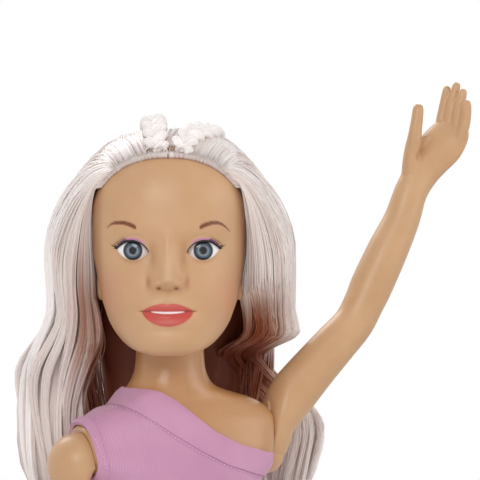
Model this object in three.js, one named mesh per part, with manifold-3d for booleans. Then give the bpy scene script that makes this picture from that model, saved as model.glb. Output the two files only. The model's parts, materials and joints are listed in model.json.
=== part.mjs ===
// A walking doll: led by its raised hand, its legs swing in turn and its head turns with them.
// Millimetres, +Z up, chest towards -Y. The head is turned towards the doll's right.
import * as THREE from "three";
import { mergeVertices } from "three/addons/utils/BufferGeometryUtils.js";
import Module from "manifold-3d";

const wasm = await Module();
wasm.setup();

// Clearances and walls
const GAP = 0.3;
const RUN = 0.4;
const WALL = 2.4;
const HEAD_WALL = 3;
// How far shapes that are joined into one run into each other
const JOIN = 0.1;

// Heights of the figure
const NECK_TOP_Z = 638;
const CROWN_Z = NECK_TOP_Z + 151;
const CHIN_Z = NECK_TOP_Z - 18;
const SHOULDER_Z = NECK_TOP_Z - 54;
const CHEST_Z = SHOULDER_Z - 62;
const WAIST_Z = CHEST_Z - 64;
const HIP_Z = WAIST_Z - 86;
const CROTCH_Z = HIP_Z - 26;
const ANKLE_Z = 60;
const KNEE_Z = ANKLE_Z + (HIP_Z - ANKLE_Z) * 0.45;

// Half widths and depths of the figure
const NECK_HALF = 27;
const SHOULDER_HALF = 84;
const CHEST_HALF = 68;
const CHEST_FRONT = 51;
const WAIST_HALF = 48;
const HIP_HALF = 64;
const HEAD_HALF = 62;
const FACE_Y = -70;
const HEAD_BACK_Y = 73;
const HEAD_TURN = THREE.MathUtils.degToRad(-25);

// Walker mechanism
const SHAFT_R = 4;
const AXLE_R = 3;
const PIN_R = 2;
const PIN_ARM = 10;
const LEG_SWING = THREE.MathUtils.degToRad(20);
const YOKE_H = 10;
const YOKE_HUB_R = 7;
const PRONG = 3;
const CROSS_PIN_R = 1.2;
const COLLAR_R = 8;
const COLLAR_H = 5;
const BRACKET_H = 4;
const BRACKET_W = 22;
const BUSH_R = 9;
const BUSH_FLANGE_R = 13;
const BUSH_FLANGE_H = 2;
const BUSH_H = 7;
const KNOB_R = 12;
const KNOB_FLANGE_R = 18;
const KNOB_FLANGE_H = 4;
const CLIP_R = 8;
const CLIP_H = 2;
const SHAFT_PROUD = 1;
const SHAFT_FOOT_ROOM = 1.5;
const BRACKET_RISE = 4;
const FORK_ROOT = 1.5;

// Hips
const KEEL_HALF = 19.3;
const LEG_FACE = KEEL_HALF + RUN;
const HIP_RECESS_R = 34;
const HIP_DOME_R = HIP_RECESS_R - RUN - GAP;
const HIP_DOME_REACH = 45;
const LEG_X = 41.5;
const HUB_R = 16;
const HUB_H = 5;
const HUB_NECK_R = 6;
const AXLE_NUT_R = 7;
const AXLE_NUT_H = 2.5;
const HIP_CAP_R = 11;

// Shoulders: the pivot leans down and out, and the arm is one moulding
const SHOULDER_X = 75;
const SHOULDER_Y = -5;
const PIVOT_Z = SHOULDER_Z - 44;
const PIVOT_LEAN = THREE.MathUtils.degToRad(8);
const ARM_BALL_R = 18.5;
const ARM_BALL_OUT = 5.5;
const PLUG_R = 6.5;
const PLUG_FLANGE_R = 11;
const PLUG_FLANGE_H = 2.5;
const WASHER_H = 1.4;
const FINGER_R = 4.6;
const THUMB_R = 5.6;

// Eyes
const EYE_X = 26.9;
const EYE_Z = CHIN_Z + 80;
const EYE_R = 12.8;
const EYE_OPEN_HALF = 12.5;
const EYE_OPEN_HIGH = 7.2;
const EYE_SINK = 2.5;

// Hair
const HAIR_T = 6;
const BRAID_R = 8.5;
const BRAID_LUMPS = 7;
const BRAID_DIP = 0.2;
const BRAID_END = 0.5;

// Dress
const CLOTH_T = 1.8;
const BAND_T = 3.4;
const BAND_WIDE = 15;
const ARMHOLE_SET = 3;
const HEM_Z = HIP_Z - 90;
const FOLDS = 10;
const FOLD_DEEP = 5;
const FASTENER_W = 12;
const FASTENER_H = 70;
const FASTENER_RISE = 3;
const TAPE_T = 1.2;

// Shoes and screws
const SOLE_H = 8;
// The ankles stand behind the hips, under the weight of the head and its hair
const FOOT_BACK = 18;
const SHOE_T = 2.4;
const STRAP_W = 7;
const SOLE_RIM = 2;
const SOLE_BEVEL = 1.5;
const THROAT_DROP = 6;
const SCREW_R = 1.8;
const SCREW_HEAD_R = 3.6;
const SCREW_HEAD_H = 2.5;
const SCREW_LONG = 16;
const SCREW_TIP_ROOM = 1;
const BOSS_R = 6;

// Facets: how many sides the round shapes have
const BODY_SIDES = 20;
const HEAD_SIDES = 24;
const LIMB_SIDES = 10;
const HOLLOW_SIDES = 8;
const ROD_SIDES = 12;
const FINGER_SIDES = 6;
const PIN_SIDES = 8;
const FOLD_POINTS = 4;
const ARC_STEPS = 5;

// Squareness of the oval sections: 2 is a plain ellipse
const HEAD_POWER = 2.3;
const LEG_POWER = 2.1;
const SOLE_POWER = 2.3;
const HAIR_POWER = 2.2;
const SKIRT_POWER = 2.1;

// Longer than any piece, for cutting
const FAR = 400;

// Skins a row of sections, listed from the top down. A section is a function of the angle around
// it and of the reach from its middle, which is 0 at the middle of a cap and 1 on the skin.
function skin(sides, sections) {
  const rows = sections.length - 1;
  const tube = new THREE.CylinderGeometry(1, 1, rows, sides, rows);
  const position = tube.attributes.position;
  const seat = new THREE.Vector3();
  for (let i = 0; i < position.count; i += 1) {
    seat.fromBufferAttribute(position, i);
    const row = Math.round(rows / 2 - seat.y);
    const reach = Math.hypot(seat.x, seat.z);
    const spot = sections[row](Math.atan2(-seat.z, seat.x), reach);
    position.setXYZ(i, spot.x, spot.y, spot.z);
  }
  return solid(tube);
}

// A closed geometry as a solid that can be joined and cut.
function solid(geometry) {
  const bare = geometry.clone();
  bare.deleteAttribute("normal");
  bare.deleteAttribute("uv");
  const merged = mergeVertices(bare, 1e-4);
  const vertProperties = new Float32Array(merged.attributes.position.array);
  const triVerts = new Uint32Array(merged.index.array);
  return new wasm.Manifold(new wasm.Mesh({ numProp: 3, vertProperties, triVerts }));
}

function movedBy(geometry, x, y, z) {
  return solid(geometry.clone().translate(x, y, z));
}

function node(name, body, colour, roughness, metalness) {
  const made = body.getMesh();
  const geometry = new THREE.BufferGeometry();
  const corners = new THREE.BufferAttribute(new Float32Array(made.vertProperties), 3);
  geometry.setAttribute("position", corners);
  geometry.setIndex(new THREE.BufferAttribute(new Uint32Array(made.triVerts), 1));
  geometry.computeVertexNormals();
  const material = new THREE.MeshStandardMaterial({ color: colour, roughness, metalness });
  const mesh = new THREE.Mesh(geometry, material);
  mesh.name = name;
  return mesh;
}

// A rounded oval section lying level at a height.
function oval(z, middle, half, power) {
  return (angle, reach) => {
    const c = Math.cos(angle);
    const s = Math.sin(angle);
    const swell = Math.pow(Math.abs(c) ** power + Math.abs(s) ** power, -1 / power) * reach;
    return new THREE.Vector3(middle.x + half.x * c * swell, middle.y + half.y * s * swell, z);
  };
}

// A round or oval section across a limb's path, at one of its points.
function limbSections(points, sizes, flatTowards) {
  return points.map((point, i) => {
    const before = points[Math.max(i - 1, 0)];
    const after = points[Math.min(i + 1, points.length - 1)];
    const along = before.clone().sub(after).normalize();
    const side = new THREE.Vector3().crossVectors(flatTowards, along).normalize();
    const thick = new THREE.Vector3().crossVectors(along, side);
    return (angle, reach) => point.clone()
      .addScaledVector(side, Math.cos(angle) * sizes[i][0] * reach)
      .addScaledVector(thick, Math.sin(angle) * sizes[i][1] * reach);
  });
}

// A block between two corners.
function block(x0, x1, y0, y1, z0, z1) {
  const box = new THREE.BoxGeometry(x1 - x0, y1 - y0, z1 - z0);
  return movedBy(box, (x0 + x1) / 2, (y0 + y1) / 2, (z0 + z1) / 2);
}

// A rod along X, Y or Z from one place to another.
function rodX(radius, x0, x1, y, z, sides = ROD_SIDES) {
  const rod = new THREE.CylinderGeometry(radius, radius, x1 - x0, sides).rotateZ(Math.PI / 2);
  return movedBy(rod, (x0 + x1) / 2, y, z);
}

function rodY(radius, y0, y1, x, z, sides = PIN_SIDES) {
  return movedBy(new THREE.CylinderGeometry(radius, radius, y1 - y0, sides), x, (y0 + y1) / 2, z);
}

function rodZ(radius, z0, z1, sides = ROD_SIDES) {
  const rod = new THREE.CylinderGeometry(radius, radius, z1 - z0, sides).rotateX(Math.PI / 2);
  return movedBy(rod, 0, 0, (z0 + z1) / 2);
}

// Torso
// Each station: height, half width, depth to the front and back, squareness, share of growth upwards
const TORSO = [
  [NECK_TOP_Z, NECK_HALF - 0.5, 26, 26, 2, 1],
  [NECK_TOP_Z - 24, NECK_HALF, 26.5, 26.5, 2, 0],
  [SHOULDER_Z + 18, NECK_HALF + 3, 28, 28, 2, 0.2],
  [SHOULDER_Z + 10, NECK_HALF + 10, 29, 29, 2.1, 0.6],
  [SHOULDER_Z + 5, NECK_HALF + 24, 29, 28, 2.3, 0.9],
  [SHOULDER_Z, SHOULDER_HALF - 17, 30, 27, 2.5, 1],
  [SHOULDER_Z - 7, SHOULDER_HALF - 6, 34, 28, 2.7, 0.7],
  [SHOULDER_Z - 18, SHOULDER_HALF, 39, 30, 2.8, 0.3],
  [PIVOT_Z, CHEST_HALF + 13, CHEST_FRONT - 4, 34, 2.8, 0],
  [CHEST_Z, CHEST_HALF, CHEST_FRONT, 36, 2.6, 0],
  [CHEST_Z - 30, WAIST_HALF + 9, CHEST_FRONT - 5, 37, 2.3, 0],
  [WAIST_Z, WAIST_HALF, 38, 37, 2.2, 0],
  [WAIST_Z - 26, WAIST_HALF + 8, 40, 42, 2.2, 0],
  [HIP_Z + 33, HIP_HALF - 1, 42, 46, 2.3, 0],
  [HIP_Z + 13, HIP_HALF, 42, 47, 2.3, 0],
  [HIP_Z - 7, HIP_HALF - 6, 38, 42, 2.2, 0],
  [CROTCH_Z + 5, HIP_HALF - 22, 27, 29, 2.1, -0.4],
  [CROTCH_Z, HIP_HALF - 40, 14, 16, 2, -1],
];

function torsoGrown(grow, sides) {
  return skin(sides, TORSO.map(([z, wide, front, back, power, rise]) => {
    const middle = { x: 0, y: (back - front) / 2 };
    return oval(z + grow * rise, middle, { x: wide + grow, y: (front + back) / 2 + grow }, power);
  }));
}

// The pivot axis of the left arm, and everything outside the flat face that the arm turns on.
const PIVOT_AXIS = new THREE.Vector3(Math.cos(PIVOT_LEAN), 0, -Math.sin(PIVOT_LEAN));
const PIVOT = new THREE.Vector3(SHOULDER_X, SHOULDER_Y, PIVOT_Z);
const ARM_SPACE_LOW = 34;
const ARM_SPACE_HIGH = 70;

function outsideArmFace(setBack) {
  const deep = SHOULDER_X;
  const space = new THREE.BoxGeometry(deep, 2 * SHOULDER_X, ARM_SPACE_LOW + ARM_SPACE_HIGH);
  space.translate(deep / 2 - setBack, 0, (ARM_SPACE_HIGH - ARM_SPACE_LOW) / 2);
  space.rotateY(PIVOT_LEAN);
  const left = movedBy(space, PIVOT.x, PIVOT.y, PIVOT.z);
  return left.add(left.mirror([1, 0, 0]));
}

// A rod along the left arm's pivot axis, from one distance out of its face to another.
function pivotRod(radius, from, to, sides = ROD_SIDES) {
  const rod = new THREE.CylinderGeometry(radius, radius, to - from, sides).rotateZ(Math.PI / 2);
  rod.translate((from + to) / 2, 0, 0).rotateY(PIVOT_LEAN);
  return solid(rod);
}

function atShoulder(body) {
  return body.translate([PIVOT.x, PIVOT.y, PIVOT.z]);
}

// The space that the legs' tops turn in, beside the keel.
function hipRecess(grow) {
  const inner = KEEL_HALF - grow;
  const round = rodX(HIP_RECESS_R + grow, inner, FAR, 0, HIP_Z, BODY_SIDES);
  const below = block(inner, FAR, -FAR, FAR, 0, HIP_Z + RUN + grow);
  const left = round.add(below);
  return left.add(left.mirror([1, 0, 0]));
}

// The curved slots in the keel's walls that the drive pins swing in.
function pinSlots() {
  const half = PIN_R + 2 * RUN;
  const span = LEG_SWING + half / PIN_ARM;
  const arc = new THREE.Shape();
  arc.absarc(0, 0, PIN_ARM + half, Math.PI / 2 - span, Math.PI / 2 + span, false);
  arc.absarc(0, 0, PIN_ARM - half, Math.PI / 2 + span, Math.PI / 2 - span, true);
  const depth = 2 * KEEL_HALF + WALL;
  const slot = new THREE.ExtrudeGeometry(arc, { depth, bevelEnabled: false, curveSegments: ARC_STEPS });
  slot.translate(0, 0, -depth / 2).rotateX(Math.PI / 2).rotateZ(Math.PI / 2);
  return movedBy(slot, 0, 0, HIP_Z);
}

const SCREW_SPOTS = [[-30, WAIST_Z + 4], [30, WAIST_Z + 4], [-42, CHEST_Z + 6], [42, CHEST_Z + 6]];
const SCREW_SEAT_Y = 12;

function buildTorso() {
  const outer = torsoGrown(0, BODY_SIDES).subtract(hipRecess(0)).subtract(outsideArmFace(0));
  const hollow = torsoGrown(-WALL, ROD_SIDES).subtract(hipRecess(WALL)).subtract(outsideArmFace(WALL));
  let shell = outer.subtract(hollow);
  for (const [x, z] of SCREW_SPOTS) {
    shell = shell.add(rodY(BOSS_R, -FAR, FAR, x, z).intersect(outer));
  }
  for (const [x, z] of SCREW_SPOTS) {
    shell = shell.subtract(rodY(SCREW_R + GAP, SCREW_SEAT_Y - SCREW_LONG - SCREW_TIP_ROOM, FAR, x, z));
    shell = shell.subtract(rodY(SCREW_HEAD_R + GAP, SCREW_SEAT_Y, FAR, x, z));
  }
  const flangeRoom = WALL + WASHER_H + PLUG_FLANGE_H + 4 * RUN;
  const plugHole = atShoulder(pivotRod(PLUG_R + RUN, -2 * WALL, 2 * WALL)
    .add(pivotRod(PLUG_FLANGE_R + RUN, -flangeRoom, -WALL)));
  shell = shell.subtract(plugHole).subtract(plugHole.mirror([1, 0, 0]));
  shell = shell.subtract(rodX(AXLE_R + RUN, -FAR, FAR, 0, HIP_Z));
  shell = shell.subtract(pinSlots());
  shell = shell.subtract(rodZ(BUSH_R + GAP, NECK_TOP_Z - 2 * BUSH_H, FAR * 2));
  const front = shell.subtract(block(-FAR, FAR, -GAP / 2, FAR, 0, 2 * FAR));
  const back = shell.subtract(block(-FAR, FAR, -FAR, GAP / 2, 0, 2 * FAR));
  const parts = [
    node("torso_front", front, 0xc9a27a, 0.45, 0),
    node("torso_back", back, 0xc9a27a, 0.45, 0),
  ];
  SCREW_SPOTS.forEach(([x, z], i) => {
    const seat = SCREW_SEAT_Y + GAP;
    const shank = rodY(SCREW_R, SCREW_SEAT_Y - SCREW_LONG, seat + SCREW_HEAD_H / 2, x, z);
    const head = rodY(SCREW_HEAD_R, seat, seat + SCREW_HEAD_H, x, z);
    parts.push(node(`torso_screw_${i + 1}`, shank.add(head), 0x9a9da0, 0.35, 1));
  });
  return parts;
}

// Walker shaft, from the yoke at the hips to the knob in the head
const RECESS_CEILING_Z = NECK_TOP_Z + BUSH_FLANGE_H + 2 * GAP + RUN;
const KNOB_FLANGE_Z = RECESS_CEILING_Z + HEAD_WALL + RUN;
const SHAFT_TOP_Z = KNOB_FLANGE_Z + KNOB_FLANGE_H + GAP + CLIP_H + SHAFT_PROUD;
const YOKE_Z = HIP_Z + PIN_ARM;
const SHAFT_LOW_Z = HIP_Z + AXLE_R + SHAFT_FOOT_ROOM;
const BRACKET_Z = HIP_Z + HIP_RECESS_R + WALL + BRACKET_RISE;
const FORK_HALF = PIN_R / Math.cos(LEG_SWING) + (PRONG / 2) * Math.tan(LEG_SWING) + 2 * RUN;

function buildWalker() {
  const bore = rodZ(SHAFT_R + GAP, 0, 2 * FAR);
  const crossHole = rodY(CROSS_PIN_R + GAP, -2 * YOKE_HUB_R, 2 * YOKE_HUB_R, 0, YOKE_Z);
  const shaft = rodZ(SHAFT_R, SHAFT_LOW_Z, SHAFT_TOP_Z).subtract(crossHole);
  const low = YOKE_Z - YOKE_H / 2;
  const high = YOKE_Z + YOKE_H / 2;
  const forkOut = PIN_ARM + PRONG / 2;
  const forkIn = PIN_ARM - PRONG / 2;
  const deep = FORK_HALF + PRONG;
  let yoke = rodZ(YOKE_HUB_R, low, high).add(block(-forkOut, forkOut, -deep, deep, low, high));
  const slot = block(forkIn - FORK_ROOT, FAR, -FORK_HALF, FORK_HALF, 0, FAR * 2);
  yoke = yoke.subtract(slot).subtract(slot.mirror([1, 0, 0])).subtract(bore).subtract(crossHole);
  const bushTop = NECK_TOP_Z + GAP;
  const bush = rodZ(BUSH_R, NECK_TOP_Z - BUSH_H, bushTop + JOIN)
    .add(rodZ(BUSH_FLANGE_R, bushTop, bushTop + BUSH_FLANGE_H))
    .subtract(rodZ(SHAFT_R + RUN, 0, 2 * FAR));
  const knobLow = bushTop + BUSH_FLANGE_H + GAP;
  const knob = rodZ(KNOB_R, knobLow, KNOB_FLANGE_Z + JOIN)
    .add(rodZ(KNOB_FLANGE_R, KNOB_FLANGE_Z, KNOB_FLANGE_Z + KNOB_FLANGE_H))
    .subtract(bore);
  const clipZ = KNOB_FLANGE_Z + KNOB_FLANGE_H + GAP;
  const clip = rodZ(CLIP_R, clipZ, clipZ + CLIP_H).subtract(bore);
  const half = BRACKET_W / 2;
  const bracket = torsoGrown(-WALL - GAP, ROD_SIDES)
    .intersect(block(-half, half, -FAR, FAR, BRACKET_Z, BRACKET_Z + BRACKET_H))
    .subtract(rodZ(SHAFT_R + RUN, 0, 2 * FAR));
  const collarZ = BRACKET_Z + BRACKET_H + RUN;
  const collar = rodZ(COLLAR_R, collarZ, collarZ + COLLAR_H).subtract(bore);
  const pin = rodY(CROSS_PIN_R, -YOKE_HUB_R, YOKE_HUB_R, 0, YOKE_Z);
  return [
    node("head_shaft", shaft, 0xa8abae, 0.3, 1),
    node("walker_yoke", yoke, 0xe8e4da, 0.5, 0),
    node("yoke_pin", pin, 0xa8abae, 0.3, 1),
    node("shaft_collar", collar, 0xa8abae, 0.3, 1),
    node("shaft_bracket", bracket, 0xe8e4da, 0.5, 0),
    node("neck_bush", bush, 0xe8e4da, 0.5, 0),
    node("neck_knob", knob, 0xe8e4da, 0.5, 0),
    node("knob_clip", clip, 0xa8abae, 0.3, 1),
  ];
}

// Legs
// Each station: height, middle across, middle in depth, half width, half depth
const THIGH_HALF = LEG_X - LEG_FACE;
const THIGH = HIP_Z - KNEE_Z;
const SHIN = KNEE_Z - ANKLE_Z;
const LEG = [
  [HIP_Z, LEG_X, 0, THIGH_HALF, 31.5],
  [HIP_Z - THIGH * 0.16, LEG_X, 0, THIGH_HALF, 30.5],
  [HIP_Z - THIGH * 0.36, LEG_X - 0.5, 0, 21, 28],
  [HIP_Z - THIGH * 0.6, LEG_X - 1.5, -1, 19.5, 24.5],
  [HIP_Z - THIGH * 0.8, LEG_X - 2, -2, 17.5, 21],
  [HIP_Z - THIGH * 0.97, LEG_X - 2.5, -2, 16, 18.5],
  [ANKLE_Z + SHIN * 0.89, LEG_X - 2.5, 0, 15, 17.5],
  [ANKLE_Z + SHIN * 0.64, LEG_X - 2.5, 3, 16.5, 19.5],
  [ANKLE_Z + SHIN * 0.43, LEG_X - 2.5, 4, 15, 18],
  [ANKLE_Z + SHIN * 0.18, LEG_X - 2.5, 3, 11.5, 13.5],
  [ANKLE_Z, LEG_X - 2.5, 2, 10.5, 12.5],
  [ANKLE_Z - 20, LEG_X - 2.5, 1, 11, 14],
  [SOLE_H + 24, LEG_X - 2.5, -5, 13, 25],
  [SOLE_H + 14, LEG_X - 2.5, -14, 15.5, 36],
  [SOLE_H + 4, LEG_X - 2.5, -17, 16, 40],
  [SOLE_H + GAP, LEG_X - 2.5, -17, 14.5, 38],
].map(([z, x, y, ...half]) => {
  const down = Math.min((HIP_Z - z) / (HIP_Z - ANKLE_Z), 1);
  return [z, x, y + FOOT_BACK * down, ...half];
});
const LEG_HOLLOW_LAST = 10;
const FOOT_FIRST = 11;
const STRAP_Z = ANKLE_Z - 22;
const THROAT_TILT = THREE.MathUtils.degToRad(14);

function legGrown(grow, sides, first, last) {
  const lower = Math.min(grow, 0);
  return skin(sides, LEG.slice(first, last).map(([z, x, y, wide, deep], i) =>
    oval(i === 0 ? z + lower : z, { x, y }, { x: wide + grow, y: deep + grow }, LEG_POWER)));
}

function hipDome(shrink) {
  const dome = new THREE.SphereGeometry(HIP_DOME_R - shrink, LIMB_SIDES, HOLLOW_SIDES - 2);
  dome.scale((HIP_DOME_REACH - shrink) / (HIP_DOME_R - shrink), 1, 1);
  return movedBy(dome, LEG_FACE, 0, HIP_Z);
}

function buildLeg(side, mirrored) {
  const faceCut = block(-FAR, LEG_FACE, -FAR, FAR, 0, FAR * 2);
  const wallCut = block(-FAR, LEG_FACE + WALL, -FAR, FAR, 0, FAR * 2);
  const hollow = legGrown(-WALL, HOLLOW_SIDES, 0, LEG_HOLLOW_LAST).add(hipDome(WALL)).subtract(wallCut);
  let leg = legGrown(0, LIMB_SIDES + 2, 0, LEG.length).add(hipDome(0)).subtract(faceCut).subtract(hollow);
  leg = leg.subtract(rodX(HUB_NECK_R + GAP, 0, LEG_FACE + 2 * WALL, 0, HIP_Z));
  leg = leg.subtract(rodX(PIN_R + GAP, 0, LEG_FACE + 2 * WALL, 0, YOKE_Z, PIN_SIDES));
  leg = leg.subtract(rodX(HIP_CAP_R + GAP, LEG_X, FAR, 0, HIP_Z));
  const hubIn = LEG_FACE + WALL + GAP;
  const hubOut = hubIn + HUB_H;
  const hub = rodX(HUB_NECK_R, LEG_FACE, hubIn + JOIN, 0, HIP_Z)
    .add(rodX(HUB_R, hubIn, hubOut, 0, HIP_Z))
    .subtract(rodX(AXLE_R + RUN, 0, FAR, 0, HIP_Z))
    .subtract(rodX(PIN_R + GAP, 0, FAR, 0, YOKE_Z, PIN_SIDES));
  const pin = rodX(PIN_R, PIN_ARM - PRONG / 2, hubOut, 0, YOKE_Z, PIN_SIDES);
  const nut = rodX(AXLE_NUT_R, hubOut + RUN, hubOut + RUN + AXLE_NUT_H, 0, HIP_Z)
    .subtract(rodX(AXLE_R + GAP, 0, FAR, 0, HIP_Z));
  const cap = rodX(HIP_CAP_R, LEG_X, FAR, 0, HIP_Z)
    .intersect(hipDome(0).subtract(hipDome(WALL)));
  const [, footX, footY, footWide, footDeep] = LEG[LEG.length - 1];
  const welt = SHOE_T + GAP + SOLE_RIM;
  const outline = { x: footWide + welt, y: footDeep + welt };
  const middle = { x: footX, y: footY };
  const sole = skin(BODY_SIDES, [
    oval(SOLE_H, middle, outline, SOLE_POWER),
    oval(SOLE_H / 2, middle, outline, SOLE_POWER),
    oval(0, middle, { x: outline.x - SOLE_BEVEL, y: outline.y - SOLE_BEVEL }, SOLE_POWER),
  ]);
  const throat = new THREE.BoxGeometry(FAR, FAR, FAR).translate(0, 0, FAR / 2).rotateX(THROAT_TILT);
  const shoe = legGrown(GAP + SHOE_T, LIMB_SIDES + 2, FOOT_FIRST, LEG.length)
    .subtract(legGrown(GAP, LIMB_SIDES + 2, FOOT_FIRST - 1, LEG.length))
    .subtract(movedBy(throat, LEG_X, FOOT_BACK, STRAP_Z - GAP - THROAT_DROP))
    .subtract(block(-FAR, FAR, -FAR, FAR, 0, SOLE_H + GAP))
    .subtract(block(-FAR, FAR, -FAR, FAR, STRAP_Z - GAP, FAR));
  const strapStations = (grow) => legGrown(grow, LIMB_SIDES + 2, FOOT_FIRST - 1, FOOT_FIRST + 2);
  const strap = strapStations(GAP + SHOE_T).subtract(strapStations(GAP))
    .intersect(block(-FAR, FAR, -FAR, FAR, STRAP_Z, STRAP_Z + STRAP_W));
  const bodies = [
    ["leg", leg, 0xc9a27a, 0.45, 0],
    ["hip_hub", hub, 0xe8e4da, 0.5, 0],
    ["drive_pin", pin, 0xa8abae, 0.3, 1],
    ["axle_nut", nut, 0xa8abae, 0.3, 1],
    ["hip_cap", cap, 0xc9a27a, 0.45, 0],
    ["shoe", shoe, 0xf0e9ec, 0.4, 0],
    ["sole", sole, 0xe6dde0, 0.6, 0],
    ["shoe_strap", strap, 0xf0e9ec, 0.4, 0],
  ];
  return bodies.map(([name, body, ...finish]) =>
    node(`${side}_${name}`, mirrored ? body.mirror([1, 0, 0]) : body, ...finish));
}

function buildAxle() {
  const reach = LEG_FACE + WALL + GAP + HUB_H + RUN + AXLE_NUT_H + SHAFT_PROUD;
  return [node("hip_axle", rodX(AXLE_R, -reach, reach, 0, HIP_Z), 0xa8abae, 0.3, 1)];
}

// Arms, drawn for the raised left arm from its pivot
// Each station: out, up, half breadth across the palm's plane, half thickness
const ARM = [
  [5, 1, 16.5, 16.5],
  [7, 13, 19, 19],
  [11, 27, 20, 19.5],
  [28, 45, 19.5, 19],
  [45, 63, 18.5, 18],
  [66, 84, 17.3, 17],
  [83, 101, 16.3, 16],
  [93, 118, 16.4, 16],
  [100, 132, 17.2, 16.6],
  [114, 159, 16.6, 16],
  [127, 184, 14.8, 14],
  [138.5, 208, 13, 12],
  [144.5, 226, 12.3, 10.5],
  [152, 238, 14.5, 10],
  [160, 252, 16.8, 9.5],
  [166, 265, 16.5, 8],
  [169, 271, 13, 5],
];
const ARM_HOLLOW_LAST = 12;
const FINGERS = [
  { root: [155, 262], tip: [163, 291], bend: -3 },
  { root: [162, 264], tip: [171, 295], bend: -4 },
  { root: [169, 262], tip: [177.5, 291], bend: -6 },
  { root: [175.5, 257], tip: [182, 281], bend: -8 },
];
// Out, up and deep along the thumb
const THUMB = [[147, 238, 0], [141, 252, -4], [139, 266, -6], [142, 279, -6], [142.8, 281, -6]];
const FINGER_STEPS = [0, 0.35, 0.7, 0.92, 1];
const FINGER_TAPER = [1, 1, 0.95, 0.85, 0.5];

function armGrown(grow, sides, last) {
  const stations = ARM.slice(0, last);
  const points = stations.map(([out, up]) => new THREE.Vector3(out, 0, up)).reverse();
  const sizes = stations.map(([, , wide, thick]) => [wide + grow, thick + grow]).reverse();
  return skin(sides, limbSections(points, sizes, new THREE.Vector3(0, 1, 0)));
}

function finger(points, radius) {
  const taper = FINGER_TAPER.map((share) => [radius * share, radius * share]);
  return skin(FINGER_SIDES, limbSections(points.reverse(), taper.reverse(), new THREE.Vector3(0, 1, 0)));
}

function buildArm(side, mirrored) {
  const ball = pivotBall(ARM_BALL_R);
  let arm = armGrown(0, LIMB_SIDES, ARM.length).add(ball);
  for (const { root, tip, bend } of FINGERS) {
    const points = FINGER_STEPS.map((t) => new THREE.Vector3(
      root[0] + (tip[0] - root[0]) * t, bend * t * t, root[1] + (tip[1] - root[1]) * t));
    arm = arm.add(finger(points, FINGER_R));
  }
  const thumb = THUMB.map(([out, up, deep]) => new THREE.Vector3(out, deep, up));
  arm = arm.add(finger(thumb, THUMB_R));
  const hollow = armGrown(-WALL, HOLLOW_SIDES, ARM_HOLLOW_LAST).add(pivotBall(ARM_BALL_R - WALL));
  arm = arm.subtract(behindFace(RUN)).subtract(hollow.subtract(behindFace(RUN + WALL)));
  arm = arm.subtract(pivotRod(PLUG_R + GAP, 0, RUN + 2 * WALL));
  const washerIn = -WALL - GAP - WASHER_H;
  const washer = pivotRod(PLUG_FLANGE_R, washerIn, -WALL - GAP)
    .subtract(pivotRod(PLUG_R + GAP, -FAR / 4, FAR / 4));
  const innerFlange = washerIn - GAP;
  const outerFlange = RUN + WALL + GAP;
  const plug = pivotRod(PLUG_R, innerFlange - JOIN, outerFlange + JOIN)
    .add(pivotRod(PLUG_FLANGE_R, innerFlange - PLUG_FLANGE_H, innerFlange))
    .add(pivotRod(PLUG_FLANGE_R, outerFlange, outerFlange + PLUG_FLANGE_H));
  const group = new THREE.Group();
  group.position.set(mirrored ? -PIVOT.x : PIVOT.x, PIVOT.y, PIVOT.z);
  if (mirrored) {
    const axis = new THREE.Vector3(-PIVOT_AXIS.x, 0, PIVOT_AXIS.z);
    group.quaternion.setFromAxisAngle(axis, Math.PI);
  }
  const bodies = [
    ["arm", arm, 0xc9a27a, 0.45, 0],
    ["shoulder_plug", plug, 0xe8e4da, 0.5, 0],
    ["shoulder_washer", washer, 0x3a3a3a, 0.8, 0],
  ];
  for (const [name, body, ...finish] of bodies) {
    group.add(node(`${side}_${name}`, mirrored ? body.mirror([1, 0, 0]) : body, ...finish));
  }
  return group;
}

function pivotBall(radius) {
  const ball = new THREE.SphereGeometry(radius, LIMB_SIDES, HOLLOW_SIDES - 2).rotateZ(Math.PI / 2);
  return solid(ball.translate(ARM_BALL_OUT, 0, 0).rotateY(PIVOT_LEAN));
}

// Everything on the body's side of a plane that lies a little out of the arm's face.
function behindFace(out) {
  const space = new THREE.BoxGeometry(FAR, FAR, FAR);
  return solid(space.translate(out - FAR / 2, 0, 0).rotateY(PIVOT_LEAN));
}

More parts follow.
